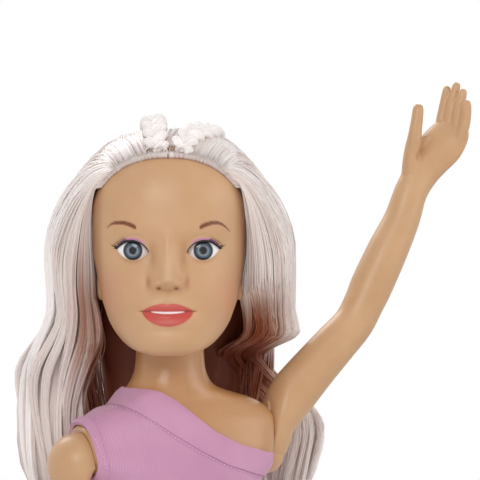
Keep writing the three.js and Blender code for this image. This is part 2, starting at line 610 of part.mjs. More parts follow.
// Head, drawn facing -Y
// Each station: height, half width, front, back
const HEAD = [
  [CROWN_Z, 8, -9, 13],
  [CROWN_Z - 2, 24, -25, 31],
  [CROWN_Z - 7, HEAD_HALF - 24, -40, 46],
  [CROWN_Z - 17, HEAD_HALF - 12, FACE_Y + 17, HEAD_BACK_Y - 15],
  [CROWN_Z - 32, HEAD_HALF - 4, FACE_Y + 7, HEAD_BACK_Y - 6],
  [CROWN_Z - 49, HEAD_HALF, FACE_Y + 1.5, HEAD_BACK_Y - 2],
  [EYE_Z + 20, HEAD_HALF, FACE_Y, HEAD_BACK_Y],
  [EYE_Z + 6, HEAD_HALF - 1, FACE_Y + 1, HEAD_BACK_Y],
  [EYE_Z - 5, HEAD_HALF - 2.2, FACE_Y + 1, HEAD_BACK_Y - 1],
  [EYE_Z - 13, HEAD_HALF - 4, FACE_Y + 0.3, HEAD_BACK_Y - 2],
  [EYE_Z - 21, HEAD_HALF - 5.8, FACE_Y - 0.6, HEAD_BACK_Y - 4],
  [EYE_Z - 28, HEAD_HALF - 7.5, FACE_Y - 1, HEAD_BACK_Y - 6],
  [CHIN_Z + 42, HEAD_HALF - 9.5, FACE_Y - 1, HEAD_BACK_Y - 10],
  [CHIN_Z + 33, HEAD_HALF - 12.5, FACE_Y - 0.7, HEAD_BACK_Y - 16],
  [CHIN_Z + 24, HEAD_HALF - 16, FACE_Y - 0.2, HEAD_BACK_Y - 24],
  [CHIN_Z + 15, HEAD_HALF - 22, FACE_Y + 1, HEAD_BACK_Y - 43],
  [CHIN_Z + 8, HEAD_HALF - 29, FACE_Y + 2.5, 8],
  [CHIN_Z + 3, HEAD_HALF - 38, FACE_Y + 5, -18],
  [CHIN_Z, HEAD_HALF - 50, FACE_Y + 10, -44],
];
const NOSE_TIP_Z = EYE_Z - 21;
const NOSE_LONG = 25;
const NOSE_UNDER = 8;
const NOSE_OUT = 12;
const MOUTH_Z = EYE_Z - 46;
const NAPE_Z = EYE_Z - 50;
const NECK_ROOM = 1;
const EYE_ROW = 7;
const LIPS = { out: 3.5, wide: 15, high: 8 };
const CHIN = { out: 2.5, wide: 16, high: 9, z: CHIN_Z + 11 };
const SOCKET = { deep: 2.5, wide: 14, high: 9 };
const EAR = { thick: 5, deep: 10, high: 17, y: 8, z: EYE_Z - 22, sink: 3 };

// How far the nose, lips and chin stand out, and the eyes lie in, at a place on the face.
function relief(x, z) {
  const bell = (value, width) => Math.exp(-((value / width) ** 2));
  const above = Math.max(0, 1 - (z - NOSE_TIP_Z) / NOSE_LONG);
  const below = Math.max(0, 1 - (NOSE_TIP_Z - z) / NOSE_UNDER);
  const rise = z > NOSE_TIP_Z ? above : below;
  const nose = NOSE_OUT * Math.min(rise, 1) * bell(x, 5 + 4 * Math.min(rise, 1));
  const lips = LIPS.out * bell(x, LIPS.wide) * bell(z - MOUTH_Z, LIPS.high);
  const chin = CHIN.out * bell(x, CHIN.wide) * bell(z - CHIN.z, CHIN.high);
  const sockets = SOCKET.deep * bell(Math.abs(x) - EYE_X, SOCKET.wide) * bell(z - EYE_Z, SOCKET.high);
  return nose + lips + chin - sockets;
}

function headGrown(grow, sides, withFace) {
  const rows = HEAD.map(([z, wide, front, back], i) => {
    const lift = i < 3 ? grow : (i > HEAD.length - 4 ? -grow : 0);
    const level = oval(z + lift, { x: 0, y: (front + back) / 2 },
      { x: wide + grow, y: (back - front) / 2 + grow }, HEAD_POWER);
    return (angle, reach) => {
      const spot = level(angle, reach);
      if (withFace && reach > 0.5 && spot.y < 0) {
        spot.y -= relief(spot.x, z);
      }
      return spot;
    };
  });
  return skin(sides, rows);
}

// The hollow inside the head, on every second of its stations, so that the wall stays thick enough.
function headHollow() {
  const wall = HEAD_WALL + SOCKET.deep;
  const inside = HEAD.filter((_, i) => i % 2 === 0 && i > 1 && i < HEAD.length - 2);
  return skin(ROD_SIDES, inside.map(([z, wide, front, back]) => oval(z, { x: 0, y: (front + back) / 2 },
    { x: wide - wall, y: (back - front) / 2 - wall }, HEAD_POWER)));
}

// How far forward the bare face lies at a place across it, at the height of the eyes.
function faceAtEye(x) {
  const [, wide, front, back] = HEAD[EYE_ROW];
  const share = (1 - (x / wide) ** HEAD_POWER) ** (1 / HEAD_POWER);
  return (back + front) / 2 - ((back - front) / 2) * share;
}

const EYE_Y = faceAtEye(EYE_X) + EYE_R + EYE_SINK;

function eyeBall(grow) {
  return movedBy(new THREE.SphereGeometry(EYE_R + grow, LIMB_SIDES, FINGER_SIDES + 2), EYE_X, EYE_Y, EYE_Z);
}

// The almond opening between the lids, cut straight back through the face.
function eyeOpening() {
  const sag = (EYE_OPEN_HALF ** 2 - EYE_OPEN_HIGH ** 2) / (2 * EYE_OPEN_HIGH);
  const round = EYE_OPEN_HIGH + sag;
  const turn = Math.asin(EYE_OPEN_HALF / round);
  const almond = new THREE.Shape();
  almond.absarc(0, -sag, round, Math.PI / 2 + turn, Math.PI / 2 - turn, true);
  almond.absarc(0, sag, round, -Math.PI / 2 + turn, -Math.PI / 2 - turn, true);
  const depth = 2 * EYE_R;
  const hole = new THREE.ExtrudeGeometry(almond, { depth, bevelEnabled: false, curveSegments: ARC_STEPS });
  return movedBy(hole.rotateX(Math.PI / 2), EYE_X, EYE_Y, EYE_Z);
}

function ear(grow) {
  const shape = new THREE.SphereGeometry(1, HOLLOW_SIDES, FINGER_SIDES);
  shape.scale(EAR.thick + grow, EAR.deep + grow, EAR.high + grow);
  return movedBy(shape, HEAD_HALF - EAR.sink, EAR.y, EAR.z);
}

function bothSides(body) {
  return body.add(body.mirror([1, 0, 0]));
}

// The hair's front edge leans from the forehead down behind the cheeks.
const HAIRLINE_Z = CROWN_Z - 17;
const HAIRLINE_Y = FACE_Y + 14;
const HAIRLINE_LEAN = THREE.MathUtils.degToRad(31);

function inFrontOfHairline() {
  const space = new THREE.BoxGeometry(FAR, FAR, FAR).translate(0, -FAR / 2, 0);
  return movedBy(space.rotateX(HAIRLINE_LEAN), 0, HAIRLINE_Y, HAIRLINE_Z);
}

// Falls of hair. Each station: height, middle across and in depth, half width, half depth
const LEFT_SIDE_FALL = [
  [CROWN_Z - 27, 58, 8, 8, 26],
  [CROWN_Z - 54, 70, 12, 15, 38],
  [CROWN_Z - 84, 77, 18, 19, 42],
  [CROWN_Z - 114, 79, 22, 19, 40],
  [CROWN_Z - 141, 79, 40, 18, 28],
  [CROWN_Z - 164, 80, 70, 15, 20],
  [CROWN_Z - 189, 99, 92, 18, 16],
  [CROWN_Z - 224, 104, 90, 20, 18],
  [CROWN_Z - 264, 98, 88, 19, 17],
  [CROWN_Z - 299, 88, 84, 13, 12],
];
const RIGHT_SIDE_FALL = [
  [CROWN_Z - 27, -58, 8, 8, 26],
  [CROWN_Z - 54, -70, 12, 15, 38],
  [CROWN_Z - 84, -77, 18, 20, 42],
  [CROWN_Z - 114, -79, 21, 20, 40],
  [CROWN_Z - 141, -79, 24, 19, 34],
  [CROWN_Z - 164, -85, 29, 20, 30],
  [CROWN_Z - 189, -98, 36, 22, 25],
  [CROWN_Z - 219, -104, 40, 22, 24],
  [CROWN_Z - 259, -97, 42, 21, 22],
  [CROWN_Z - 299, -84, 44, 14, 15],
];
const BACK_FALL = [
  [CROWN_Z - 15, 0, 70, 44, 12],
  [CROWN_Z - 44, 0, 82, 56, 15],
  [CROWN_Z - 89, 0, 88, 63, 18],
  [CROWN_Z - 139, 0, 88, 66, 20],
  [CROWN_Z - 189, 0, 92, 70, 19],
  [CROWN_Z - 239, 0, 94, 70, 18],
  [CROWN_Z - 284, 0, 91, 62, 16],
  [CROWN_Z - 314, 0, 88, 48, 11],
];

function buildFall(name, stations, sides, keepClear) {
  const fall = skin(sides, stations.map(([z, x, y, wide, deep]) =>
    oval(z, { x, y }, { x: wide, y: deep }, HAIR_POWER)));
  return node(name, fall.subtract(keepClear), 0xd9c8c2, 0.5, 0);
}

function buildBraid(name, points, keepClear) {
  const path = new THREE.CatmullRomCurve3(points);
  const steps = BRAID_LUMPS * 3;
  const spots = path.getPoints(steps).reverse();
  const sizes = spots.map((_, i) => {
    const lump = 1 - BRAID_DIP + BRAID_DIP * Math.abs(Math.sin((i / steps) * BRAID_LUMPS * Math.PI));
    const ends = i === 0 || i === steps ? BRAID_END : 1;
    return [BRAID_R * lump * ends, BRAID_R * lump * ends];
  });
  const braid = skin(FINGER_SIDES + 2, limbSections(spots, sizes, new THREE.Vector3(1, 0, 0)));
  return node(name, braid.subtract(keepClear), 0xcdb9b0, 0.5, 0);
}

function buildHead() {
  const ears = bothSides(ear(0));
  const earsClear = bothSides(ear(GAP));
  const clearOfHead = headGrown(GAP, HEAD_SIDES, false).add(earsClear);
  const capOuter = headGrown(GAP + HAIR_T, HEAD_SIDES, false);
  const clearOfHair = headGrown(GAP + HAIR_T + GAP, HEAD_SIDES, false).add(earsClear);
  const cavity = headHollow()
    .subtract(block(-FAR, FAR, -FAR, FAR, 0, KNOB_FLANGE_Z - RUN));
  let shell = headGrown(0, HEAD_SIDES, true).add(ears).subtract(cavity);
  shell = shell.subtract(rodZ(NECK_HALF + NECK_ROOM, 0, RECESS_CEILING_Z, HEAD_SIDES));
  shell = shell.subtract(rodZ((KNOB_R + RUN) / Math.cos(Math.PI / ROD_SIDES), 0, KNOB_FLANGE_Z));
  shell = shell.subtract(bothSides(eyeBall(GAP))).subtract(bothSides(eyeOpening()));
  const cap = capOuter.subtract(clearOfHead).subtract(inFrontOfHairline())
    .subtract(block(-FAR, FAR, -FAR, FAR, 0, NAPE_Z));
  const group = new THREE.Group();
  group.rotation.z = HEAD_TURN;
  group.add(
    node("head_shell", shell, 0xc9a27a, 0.5, 0),
    node("left_eye", eyeBall(0), 0x8fa0ad, 0.05, 0),
    node("right_eye", eyeBall(0).mirror([1, 0, 0]), 0x8fa0ad, 0.05, 0),
    node("hair_crown", cap, 0xe2d4cf, 0.5, 0),
    buildFall("hair_left_fall", LEFT_SIDE_FALL, LIMB_SIDES, clearOfHair),
    buildFall("hair_right_fall", RIGHT_SIDE_FALL, LIMB_SIDES, clearOfHair),
    buildFall("hair_back_fall", BACK_FALL, ROD_SIDES, clearOfHair),
    buildBraid("right_braid", [
      new THREE.Vector3(-12, -52, CROWN_Z - 13), new THREE.Vector3(-15, -38, CROWN_Z - 1),
      new THREE.Vector3(-19, -14, CROWN_Z + 6), new THREE.Vector3(-21, 14, CROWN_Z + 7),
      new THREE.Vector3(-20, 36, CROWN_Z), new THREE.Vector3(-19, 52, CROWN_Z - 11),
    ], clearOfHair),
    buildBraid("left_braid", [
      new THREE.Vector3(12, -52, CROWN_Z - 13), new THREE.Vector3(22, -40, CROWN_Z - 4),
      new THREE.Vector3(32, -18, CROWN_Z), new THREE.Vector3(34, 12, CROWN_Z),
      new THREE.Vector3(31, 36, CROWN_Z - 7), new THREE.Vector3(27, 50, CROWN_Z - 16),
    ], clearOfHair),
  );
  return group;
}

// Dress
// The neckline runs from the right side of the neck down under the left arm.
const NECKLINE = [[-50, 2 * FAR], [-46, SHOULDER_Z + 14], [-30, SHOULDER_Z - 4],
  [12, SHOULDER_Z - 29], [40, SHOULDER_Z - 43], [FAR, SHOULDER_Z - 62]];

// Everything above the neckline, moved down over the cloth by a distance.
function aboveNeckline(lower) {
  const line = NECKLINE.map(([x, z]) => new THREE.Vector2(x, z));
  const edge = new THREE.Shape(line.map((spot, i) => {
    const next = line[Math.min(i + 1, line.length - 1)];
    const along = next.clone().sub(line[Math.max(i - 1, 0)]).normalize();
    return new THREE.Vector2(spot.x + lower * along.y, spot.y - lower * along.x);
  }));
  edge.lineTo(FAR, 2 * FAR);
  const space = new THREE.ExtrudeGeometry(edge, { depth: 2 * FAR, bevelEnabled: false });
  return solid(space.translate(0, 0, -FAR).rotateX(Math.PI / 2));
}

// Each station: height, half width, half depth, middle in depth, share of the folds
const SKIRT = [
  [WAIST_Z - GAP, WAIST_HALF + 2.6, 40.4, -0.5, 0],
  [WAIST_Z - 18, WAIST_HALF + 9.5, 44, 0, 0.12],
  [WAIST_Z - 38, HIP_HALF + 2, 50, 1, 0.25],
  [WAIST_Z - 60, HIP_HALF + 7, 58, 1, 0.4],
  [WAIST_Z - 95, HIP_HALF + 15, 69, 1, 0.65],
  [WAIST_Z - 135, HIP_HALF + 24, 79, 1, 0.85],
  [HEM_Z, HIP_HALF + 32, 87, 1, 1],
];

function skirtSurface(inset) {
  return skin(FOLDS * FOLD_POINTS, SKIRT.map(([z, wide, deep, y, share]) => {
    const level = oval(z, { x: 0, y }, { x: wide - inset, y: deep - inset }, SKIRT_POWER);
    return (angle, reach) => {
      const spot = level(angle, reach);
      const fold = 1 + (share * FOLD_DEEP * reach * Math.cos(FOLDS * angle)) / wide;
      spot.x *= fold;
      spot.y *= fold;
      return spot;
    };
  }));
}

function buildDress() {
  const inner = torsoGrown(GAP, BODY_SIDES);
  const armholes = outsideArmFace(ARMHOLE_SET);
  const belowWaist = block(-FAR, FAR, -FAR, FAR, 0, WAIST_Z);
  const cloth = torsoGrown(GAP + CLOTH_T, BODY_SIDES).subtract(inner).subtract(armholes);
  const bodice = cloth.subtract(belowWaist).subtract(aboveNeckline(BAND_WIDE + GAP));
  const thick = torsoGrown(GAP + BAND_T, BODY_SIDES).subtract(inner).subtract(armholes);
  const band = thick.subtract(aboveNeckline(0)).intersect(aboveNeckline(BAND_WIDE));
  const skirt = skirtSurface(0).subtract(skirtSurface(CLOTH_T)).subtract(inner);
  const half = FASTENER_W / 2;
  const tapeIn = GAP + CLOTH_T + GAP;
  const tapeLow = WAIST_Z + FASTENER_RISE;
  const fastener = torsoGrown(tapeIn + TAPE_T, BODY_SIDES).subtract(torsoGrown(tapeIn, BODY_SIDES))
    .intersect(block(-half, half, 0, FAR, tapeLow, tapeLow + FASTENER_H));
  return [
    node("bodice", bodice, 0xd29cc4, 0.9, 0),
    node("neckline_band", band, 0xd29cc4, 0.9, 0),
    node("skirt", skirt, 0xd29cc4, 0.9, 0),
    node("back_fastener", fastener, 0xe0bfd8, 0.9, 0),
  ];
}

const doll = new THREE.Group();
doll.add(
  ...buildTorso(),
  ...buildWalker(),
  ...buildAxle(),
  ...buildLeg("left", false),
  ...buildLeg("right", true),
  buildArm("left", false),
  buildArm("right", true),
  buildHead(),
  ...buildDress(),
);

// The origin is the middle of the box's underside, on the floor.
const reach = new THREE.Box3().setFromObject(doll, true);
doll.position.set(-(reach.min.x + reach.max.x) / 2, -(reach.min.y + reach.max.y) / 2, -reach.min.z);
doll.updateMatrixWorld(true);

export default doll;
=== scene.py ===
import json
import math

import bmesh
import bpy
import numpy as np
from mathutils import Matrix, Vector


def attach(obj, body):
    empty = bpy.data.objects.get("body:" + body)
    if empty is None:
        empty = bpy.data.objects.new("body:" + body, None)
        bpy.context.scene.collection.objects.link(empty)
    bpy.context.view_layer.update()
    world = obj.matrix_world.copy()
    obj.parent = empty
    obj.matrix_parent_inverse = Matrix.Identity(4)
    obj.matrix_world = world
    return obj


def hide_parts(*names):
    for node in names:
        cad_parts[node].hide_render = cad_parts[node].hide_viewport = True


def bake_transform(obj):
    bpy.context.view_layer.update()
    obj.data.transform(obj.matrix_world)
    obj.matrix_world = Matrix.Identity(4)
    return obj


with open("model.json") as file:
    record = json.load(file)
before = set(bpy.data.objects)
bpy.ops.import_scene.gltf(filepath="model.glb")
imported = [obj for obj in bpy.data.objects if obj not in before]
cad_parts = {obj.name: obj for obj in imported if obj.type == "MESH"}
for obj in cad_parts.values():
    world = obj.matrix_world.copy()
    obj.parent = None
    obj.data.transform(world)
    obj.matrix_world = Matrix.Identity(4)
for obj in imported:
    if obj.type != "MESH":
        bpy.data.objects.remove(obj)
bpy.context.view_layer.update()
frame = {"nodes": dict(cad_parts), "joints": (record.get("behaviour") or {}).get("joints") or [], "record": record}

# Studio: a pale floor, a large soft lamp up at the camera's left, weaker ones at its right, low and behind.
# The camera looks level at the head, 25 degrees off the chest, from where the photograph was taken.
scene = bpy.context.scene
joints = {joint["name"]: joint for joint in frame["joints"]}
neck = Vector(joints["head_swivel"]["pos_m"]).to_2d().to_3d()
HEAD_TURN = math.radians(-25)
sight = Vector((math.sin(-HEAD_TURN), math.cos(-HEAD_TURN), 0))
across = Vector((sight.y, -sight.x, 0))
camera_data = bpy.data.cameras.new("camera")
camera_data.sensor_width = 36
camera_data.lens = 211.5
camera = bpy.data.objects.new("camera", camera_data)
camera.location = neck + 0.0546 * across - 2.2 * sight + Vector((0, 0, 0.708))
camera.rotation_euler = (math.pi / 2, 0, HEAD_TURN)
scene.collection.objects.link(camera)
scene.camera = camera
scene.view_settings.view_transform = "Standard"


def linear(code):
    """An sRGB hex colour as linear red, green, blue and alpha."""
    parts = [int(code[i:i + 2], 16) / 255 for i in (1, 3, 5)]
    return [*(c / 12.92 if c <= 0.04045 else ((c + 0.055) / 1.055) ** 2.4 for c in parts), 1]


def wire(node, values=None, links=None):
    """Sets a node's colour stops, settings and socket values, and links its inputs."""
    for key, value in (values or {}).items():
        if key == "stops":
            first, *between, last = value
            for stop, (position, code) in zip(node.color_ramp.elements, (first, last)):
                stop.position = position
                stop.color = linear(code)
            for position, code in between:
                node.color_ramp.elements.new(position).color = linear(code)
        elif isinstance(key, int) or key in node.inputs:
            node.inputs[key].default_value = value
        else:
            setattr(node, key, value)
    for key, socket in (links or {}).items():
        node.id_data.links.new(socket, node.inputs[key])
    return node


def add(tree, kind, values=None, links=None):
    """Adds a shader node and sets it up."""
    return wire(tree.nodes.new(kind), values, links)


def surface(name):
    """A new material with its node tree and its shader."""
    material = bpy.data.materials.new(name)
    material.use_nodes = True
    return material, material.node_tree, material.node_tree.nodes["Principled BSDF"]


world = bpy.data.worlds.new("studio")
scene.world = world
world.use_nodes = True
sky = world.node_tree
sky.nodes.clear()
path = add(sky, "ShaderNodeLightPath")
through = add(sky, "ShaderNodeMath", {"operation": "MAXIMUM"},
              {0: path.outputs["Is Glossy Ray"], 1: path.outputs["Is Transmission Ray"]})
seen = add(sky, "ShaderNodeMath", {"operation": "MAXIMUM"},
           {0: path.outputs["Is Camera Ray"], 1: through.outputs[0]})
room = add(sky, "ShaderNodeBackground", {"Color": linear("#F3F1F2"), "Strength": 0.62})
white = add(sky, "ShaderNodeBackground", {"Color": linear("#FFFFFF"), "Strength": 1})
either = add(sky, "ShaderNodeMixShader", None,
             {0: seen.outputs[0], 1: room.outputs[0], 2: white.outputs[0]})
add(sky, "ShaderNodeOutputWorld", None, {"Surface": either.outputs[0]})

# Each lamp: place, breadth, power and colour. All point at the chest.
AIM = Vector((0, 0, 0.62))
for name, place, size, power, tint in (
    ("key_lamp", (-1.25, -1.7, 1.75), 1.1, 17, "#FFFFFF"),
    ("fill_lamp", (1.5, -1.2, 1.25), 1.2, 7, "#FFF8F4"),
    ("low_lamp", (-0.8, -1.9, 0.3), 0.8, 1.4, "#FFFFFF"),
    ("hair_lamp", (-0.3, 1.5, 2.1), 0.9, 14, "#FFFFFF"),
):
    lamp_data = bpy.data.lights.new(name, "AREA")
    lamp_data.shape = "DISK"
    lamp_data.size = size
    lamp_data.energy = power
    lamp_data.color = linear(tint)[:3]
    lamp = bpy.data.objects.new(name, lamp_data)
    lamp.location = place
    lamp.rotation_euler = (AIM - Vector(place)).to_track_quat("-Z", "Y").to_euler()
    scene.collection.objects.link(lamp)

# Matt painted board: almost white, with a faint cloudiness.
board, tree, shader = surface("painted_floor_board")
spot = add(tree, "ShaderNodeTexCoord").outputs["Object"]
cloud = add(tree, "ShaderNodeTexNoise", {"Scale": 1.5, "Detail": 2}, {"Vector": spot})
pale = add(tree, "ShaderNodeValToRGB", {"stops": ((0, "#EDECEC"), (1, "#F5F4F4"))},
           {"Fac": cloud.outputs["Fac"]})
wire(shader, {"Roughness": 0.8}, {"Base Color": pale.outputs["Color"]})
bm = bmesh.new()
bmesh.ops.create_grid(bm, x_segments=4, y_segments=4, size=2.6)
floor_mesh = bpy.data.meshes.new("floor")
bm.to_mesh(floor_mesh)
bm.free()
floor_mesh.materials.append(board)
floor = bpy.data.objects.new("floor", floor_mesh)
scene.collection.objects.link(floor)

# Walker mechanism: drawn steel shaft, axle, pins and screws, white acetal yoke, bearings and plugs.
# All of it sits inside the body, screwed, clipped or pressed on, so the turned shapes of the CAD stay.
# Drawn steel: bright grey with fine lines along it from the die.
drawn_steel, tree, shader = surface("drawn_steel")
spot = add(tree, "ShaderNodeTexCoord").outputs["Object"]
lines = add(tree, "ShaderNodeTexNoise", {"Scale": 900, "Detail": 2}, {"Vector": spot})
worn = add(tree, "ShaderNodeMapRange", {"To Min": 0.24, "To Max": 0.42}, {"Value": lines.outputs["Fac"]})
wire(shader, {"Base Color": linear("#C3C4C6"), "Metallic": 1}, {"Roughness": worn.outputs["Result"]})
# Moulded acetal: milky white with a satin skin and slight mould mottling, about 4 mm wide.
moulded_acetal, tree, shader = surface("moulded_acetal")
spot = add(tree, "ShaderNodeTexCoord").outputs["Object"]
mottle = add(tree, "ShaderNodeTexNoise", {"Scale": 260, "Detail": 3}, {"Vector": spot})
milky = add(tree, "ShaderNodeValToRGB", {"stops": ((0, "#E3DED2"), (1, "#EFEBE2"))},
            {"Fac": mottle.outputs["Fac"]})
wire(shader, {"Roughness": 0.45}, {"Base Color": milky.outputs["Color"]})
# Cut sheet rubber: near black and dull, with a grain about 0.6 mm wide.
sheet_rubber, tree, shader = surface("cut_sheet_rubber")
spot = add(tree, "ShaderNodeTexCoord").outputs["Object"]
grain = add(tree, "ShaderNodeTexNoise", {"Scale": 1800, "Detail": 2}, {"Vector": spot})
grainy = add(tree, "ShaderNodeBump", {"Strength": 0.15, "Distance": 0.0002},
             {"Height": grain.outputs["Fac"]})
wire(shader, {"Base Color": linear("#3A3A3A"), "Roughness": 0.8}, {"Normal": grainy.outputs["Normal"]})
INNER_FINISHES = {"steel": drawn_steel, "inner_plastic": moulded_acetal, "washer_rubber": sheet_rubber}
for part in frame["record"]["subparts"]:
    if part["material_slot"] in INNER_FINISHES:
        frame["nodes"][part["node"]].data.materials[0] = INNER_FINISHES[part["material_slot"]]

# Body: two blow-moulded vinyl halves that meet down the sides and are screwed together.
# The neck is part of them; the hips are cut out for the legs and the shoulders are flat for the arms.
doll = Matrix.Translation(neck) @ Matrix.Scale(0.001, 4)
HIP_Z = 372
KEEL_HALF = 19.3
HIP_RECESS_R = 34
LEAN = math.radians(8)
PIVOT = Vector((75, -5, 540))
PIVOT_AXIS = Vector((math.cos(LEAN), 0, -math.sin(LEAN)))
# Each row: height, half width, depth to the front and back, squareness, share of growth upwards
TORSO = np.array([
    (638, 26.5, 26, 26, 2, 1), (614, 27, 26.5, 26.5, 2, 0), (602, 30, 28, 28, 2, 0.2),
    (594, 37, 29, 29, 2.1, 0.6), (589, 51, 29, 28, 2.3, 0.9), (584, 67, 30, 27, 2.5, 1),
    (577, 78, 34, 28, 2.7, 0.7), (566, 84, 39, 30, 2.8, 0.3), (540, 81, 47, 34, 2.8, 0),
    (522, 68, 51, 36, 2.6, 0), (492, 57, 46, 37, 2.3, 0), (458, 48, 38, 37, 2.2, 0),
    (432, 56, 40, 42, 2.2, 0), (405, 63, 42, 46, 2.3, 0), (385, 64, 42, 47, 2.3, 0),
    (365, 58, 38, 42, 2.2, 0), (351, 42, 27, 29, 2.1, -0.4), (346, 24, 14, 16, 2, -1),
])


def station(table, share):
    """The row of a table at a share of its length, on a smooth curve through the rows."""
    spot = np.clip(np.asarray(share, float), 0, 1) * (len(table) - 1)
    i = np.minimum(spot.astype(int), len(table) - 2)
    t = (spot - i)[..., None]
    a, b, c, d = (table[np.clip(i + k, 0, len(table) - 1)] for k in (-1, 0, 1, 2))
    bend = (2 * a - 5 * b + 4 * c - d) * t ** 2 + (3 * b - a - 3 * c + d) * t ** 3
    return 0.5 * (2 * b + (c - a) * t + bend)


def wrapped(around, along, place):
    """A ball whose rings are laid on a piece's own sections, from its first to its last."""
    bm = bmesh.new()
    bmesh.ops.create_uvsphere(bm, u_segments=around, v_segments=along, radius=1)
    at = np.array([v.co for v in bm.verts])
    share = np.arccos(np.clip(at[:, 2], -1, 1)) / math.pi
    reach = (np.abs(at[:, 2]) < 0.9999999).astype(float)
    for vert, spot in zip(bm.verts, place(share, np.arctan2(at[:, 1], at[:, 0]), reach)):
        vert.co = spot
    return bm


def rounded(angle, power):
    """How far out a rounded oval of some squareness reaches at an angle."""
    return (np.abs(np.cos(angle)) ** power + np.abs(np.sin(angle)) ** power) ** (-1 / power)


def slope(x, z):
    """How far the right shoulder hangs lower than the left one, as in the photograph."""
    out = np.clip((-x - 34) / 36, 0, 1)
    up = np.clip((z - 536) / 30, 0, 1)
    return (13 * out * out * (3 - 2 * out) + 8 * np.exp(-((x + 44) / 10) ** 2)) * up


def torso_skin(grow):
    """The body's surface, or one that lies a little off it."""
    def place(share, angle, reach):
        z, wide, front, back, power, rise = np.moveaxis(station(TORSO, share), -1, 0)
        out = rounded(angle, power) * reach
        x = (wide + grow) * np.cos(angle) * out
        y = (back - front) / 2 + ((front + back) / 2 + grow) * np.sin(angle) * out
        return np.stack([x, y, z + grow * rise - slope(x, z)], -1)
    return place


def trimmed(bm, spot, away, where=None, closed=False):
    """Cuts off what lies past a plane, on the faces asked for, and gives back the rim."""
    faces = [f for f in bm.faces if where is None or where(f.calc_center_median())]
    edges = dict.fromkeys(e for f in faces for e in f.edges)
    verts = dict.fromkeys(v for f in faces for v in f.verts)
    cut = bmesh.ops.bisect_plane(bm, geom=[*verts, *edges, *faces], plane_co=spot, plane_no=away,
                                 clear_outer=True)
    rim = [e for e in cut["geom_cut"] if isinstance(e, bmesh.types.BMEdge)]
    if closed:
        bmesh.ops.holes_fill(bm, edges=rim)
    return rim


def carved(bm, *cutters):
    """Cuts closed shapes out of a closed shape, and gives back what is left."""
    held = []
    for shape in (bm, *cutters):
        mesh = bpy.data.meshes.new("cut")
        shape.to_mesh(mesh)
        shape.free()
        held.append(bpy.data.objects.new("cut", mesh))
        scene.collection.objects.link(held[-1])
    for cutter in held[1:]:
        cut = held[0].modifiers.new("cut", "BOOLEAN")
        cut.operation = "DIFFERENCE"
        cut.solver = "EXACT"
        cut.object = cutter
    left = taken(held[0])
    for thing in held[1:]:
        bpy.data.objects.remove(thing)
    return left


def taken(thing):
    """The finished mesh of an object with its modifiers, as a bmesh; the object goes."""
    mesh = bpy.data.meshes.new_from_object(thing.evaluated_get(bpy.context.evaluated_depsgraph_get()))
    bm = bmesh.new()
    bm.from_mesh(mesh)
    bpy.data.meshes.remove(mesh)
    bpy.data.objects.remove(thing)
    return bm


def settle(bm, name, seat, material, body=None, nodes=()):
    """Seats a finished shape on the doll as a piece."""
    bmesh.ops.transform(bm, matrix=seat, verts=bm.verts)
    if seat.determinant() < 0:
        bmesh.ops.reverse_faces(bm, faces=bm.faces)
    mesh = bpy.data.meshes.new(name)
    bm.to_mesh(mesh)
    bm.free()
    return piece_of(mesh, name, material, body, nodes)


def piece_of(mesh, name, material, body, nodes):
    """Makes a mesh a piece with its finish, which rides on a body and takes the place of its solids."""
    mesh.shade_smooth()
    mesh.set_sharp_from_angle(angle=math.radians(42))
    mesh.materials.append(material)
    piece = bpy.data.objects.new(name, mesh)
    scene.collection.objects.link(piece)
    if body:
        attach(piece, body)
    if nodes:
        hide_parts(*nodes)
    return piece


def vinyl(name, low, high, shine, painted=False):
    """Moulded vinyl: tan, softly lit from within, satin, with faint blotches and a fine pore."""
    material, tree, shader = surface(name)
    spot = add(tree, "ShaderNodeTexCoord").outputs["Object"]
    # Blotches about 30 mm wide, pores about 0.6 mm wide
    blotch = add(tree, "ShaderNodeTexNoise", {"Scale": 33, "Detail": 3}, {"Vector": spot})
    pore = add(tree, "ShaderNodeTexNoise", {"Scale": 1600, "Detail": 1}, {"Vector": spot})
    tan = add(tree, "ShaderNodeValToRGB", {"stops": ((0.3, low), (0.7, high))},
              {"Fac": blotch.outputs["Fac"]})
    satin = add(tree, "ShaderNodeMapRange", {"To Min": 0.36, "To Max": 0.46},
                {"Value": blotch.outputs["Fac"]})
    skin = add(tree, "ShaderNodeBump", {"Strength": 0.06, "Distance": 0.0003},
               {"Height": pore.outputs["Fac"]})
    colour = tan.outputs["Color"]
    if painted:
        paint = add(tree, "ShaderNodeAttribute", {"attribute_name": "paint"})
        over = add(tree, "ShaderNodeMix", {"data_type": "RGBA"},
                   {0: paint.outputs["Alpha"], 6: colour, 7: paint.outputs["Color"]})
        colour = over.outputs[2]
    wire(shader, {"IOR": 1.45, "Coat Weight": shine, "Coat Roughness": 0.22, "Subsurface Weight": 0.12,
                  "Subsurface Radius": (1, 0.4, 0.22), "Subsurface Scale": 0.004},
         {"Base Color": colour, "Roughness": satin.outputs["Result"], "Normal": skin.outputs["Normal"]})
    return material


tan_vinyl = vinyl("rotocast_tan_vinyl", "#C79D73", "#CFA67C", 0.08)
body_vinyl = vinyl("blow_moulded_body_vinyl", "#BA8756", "#C29161", 0.5)
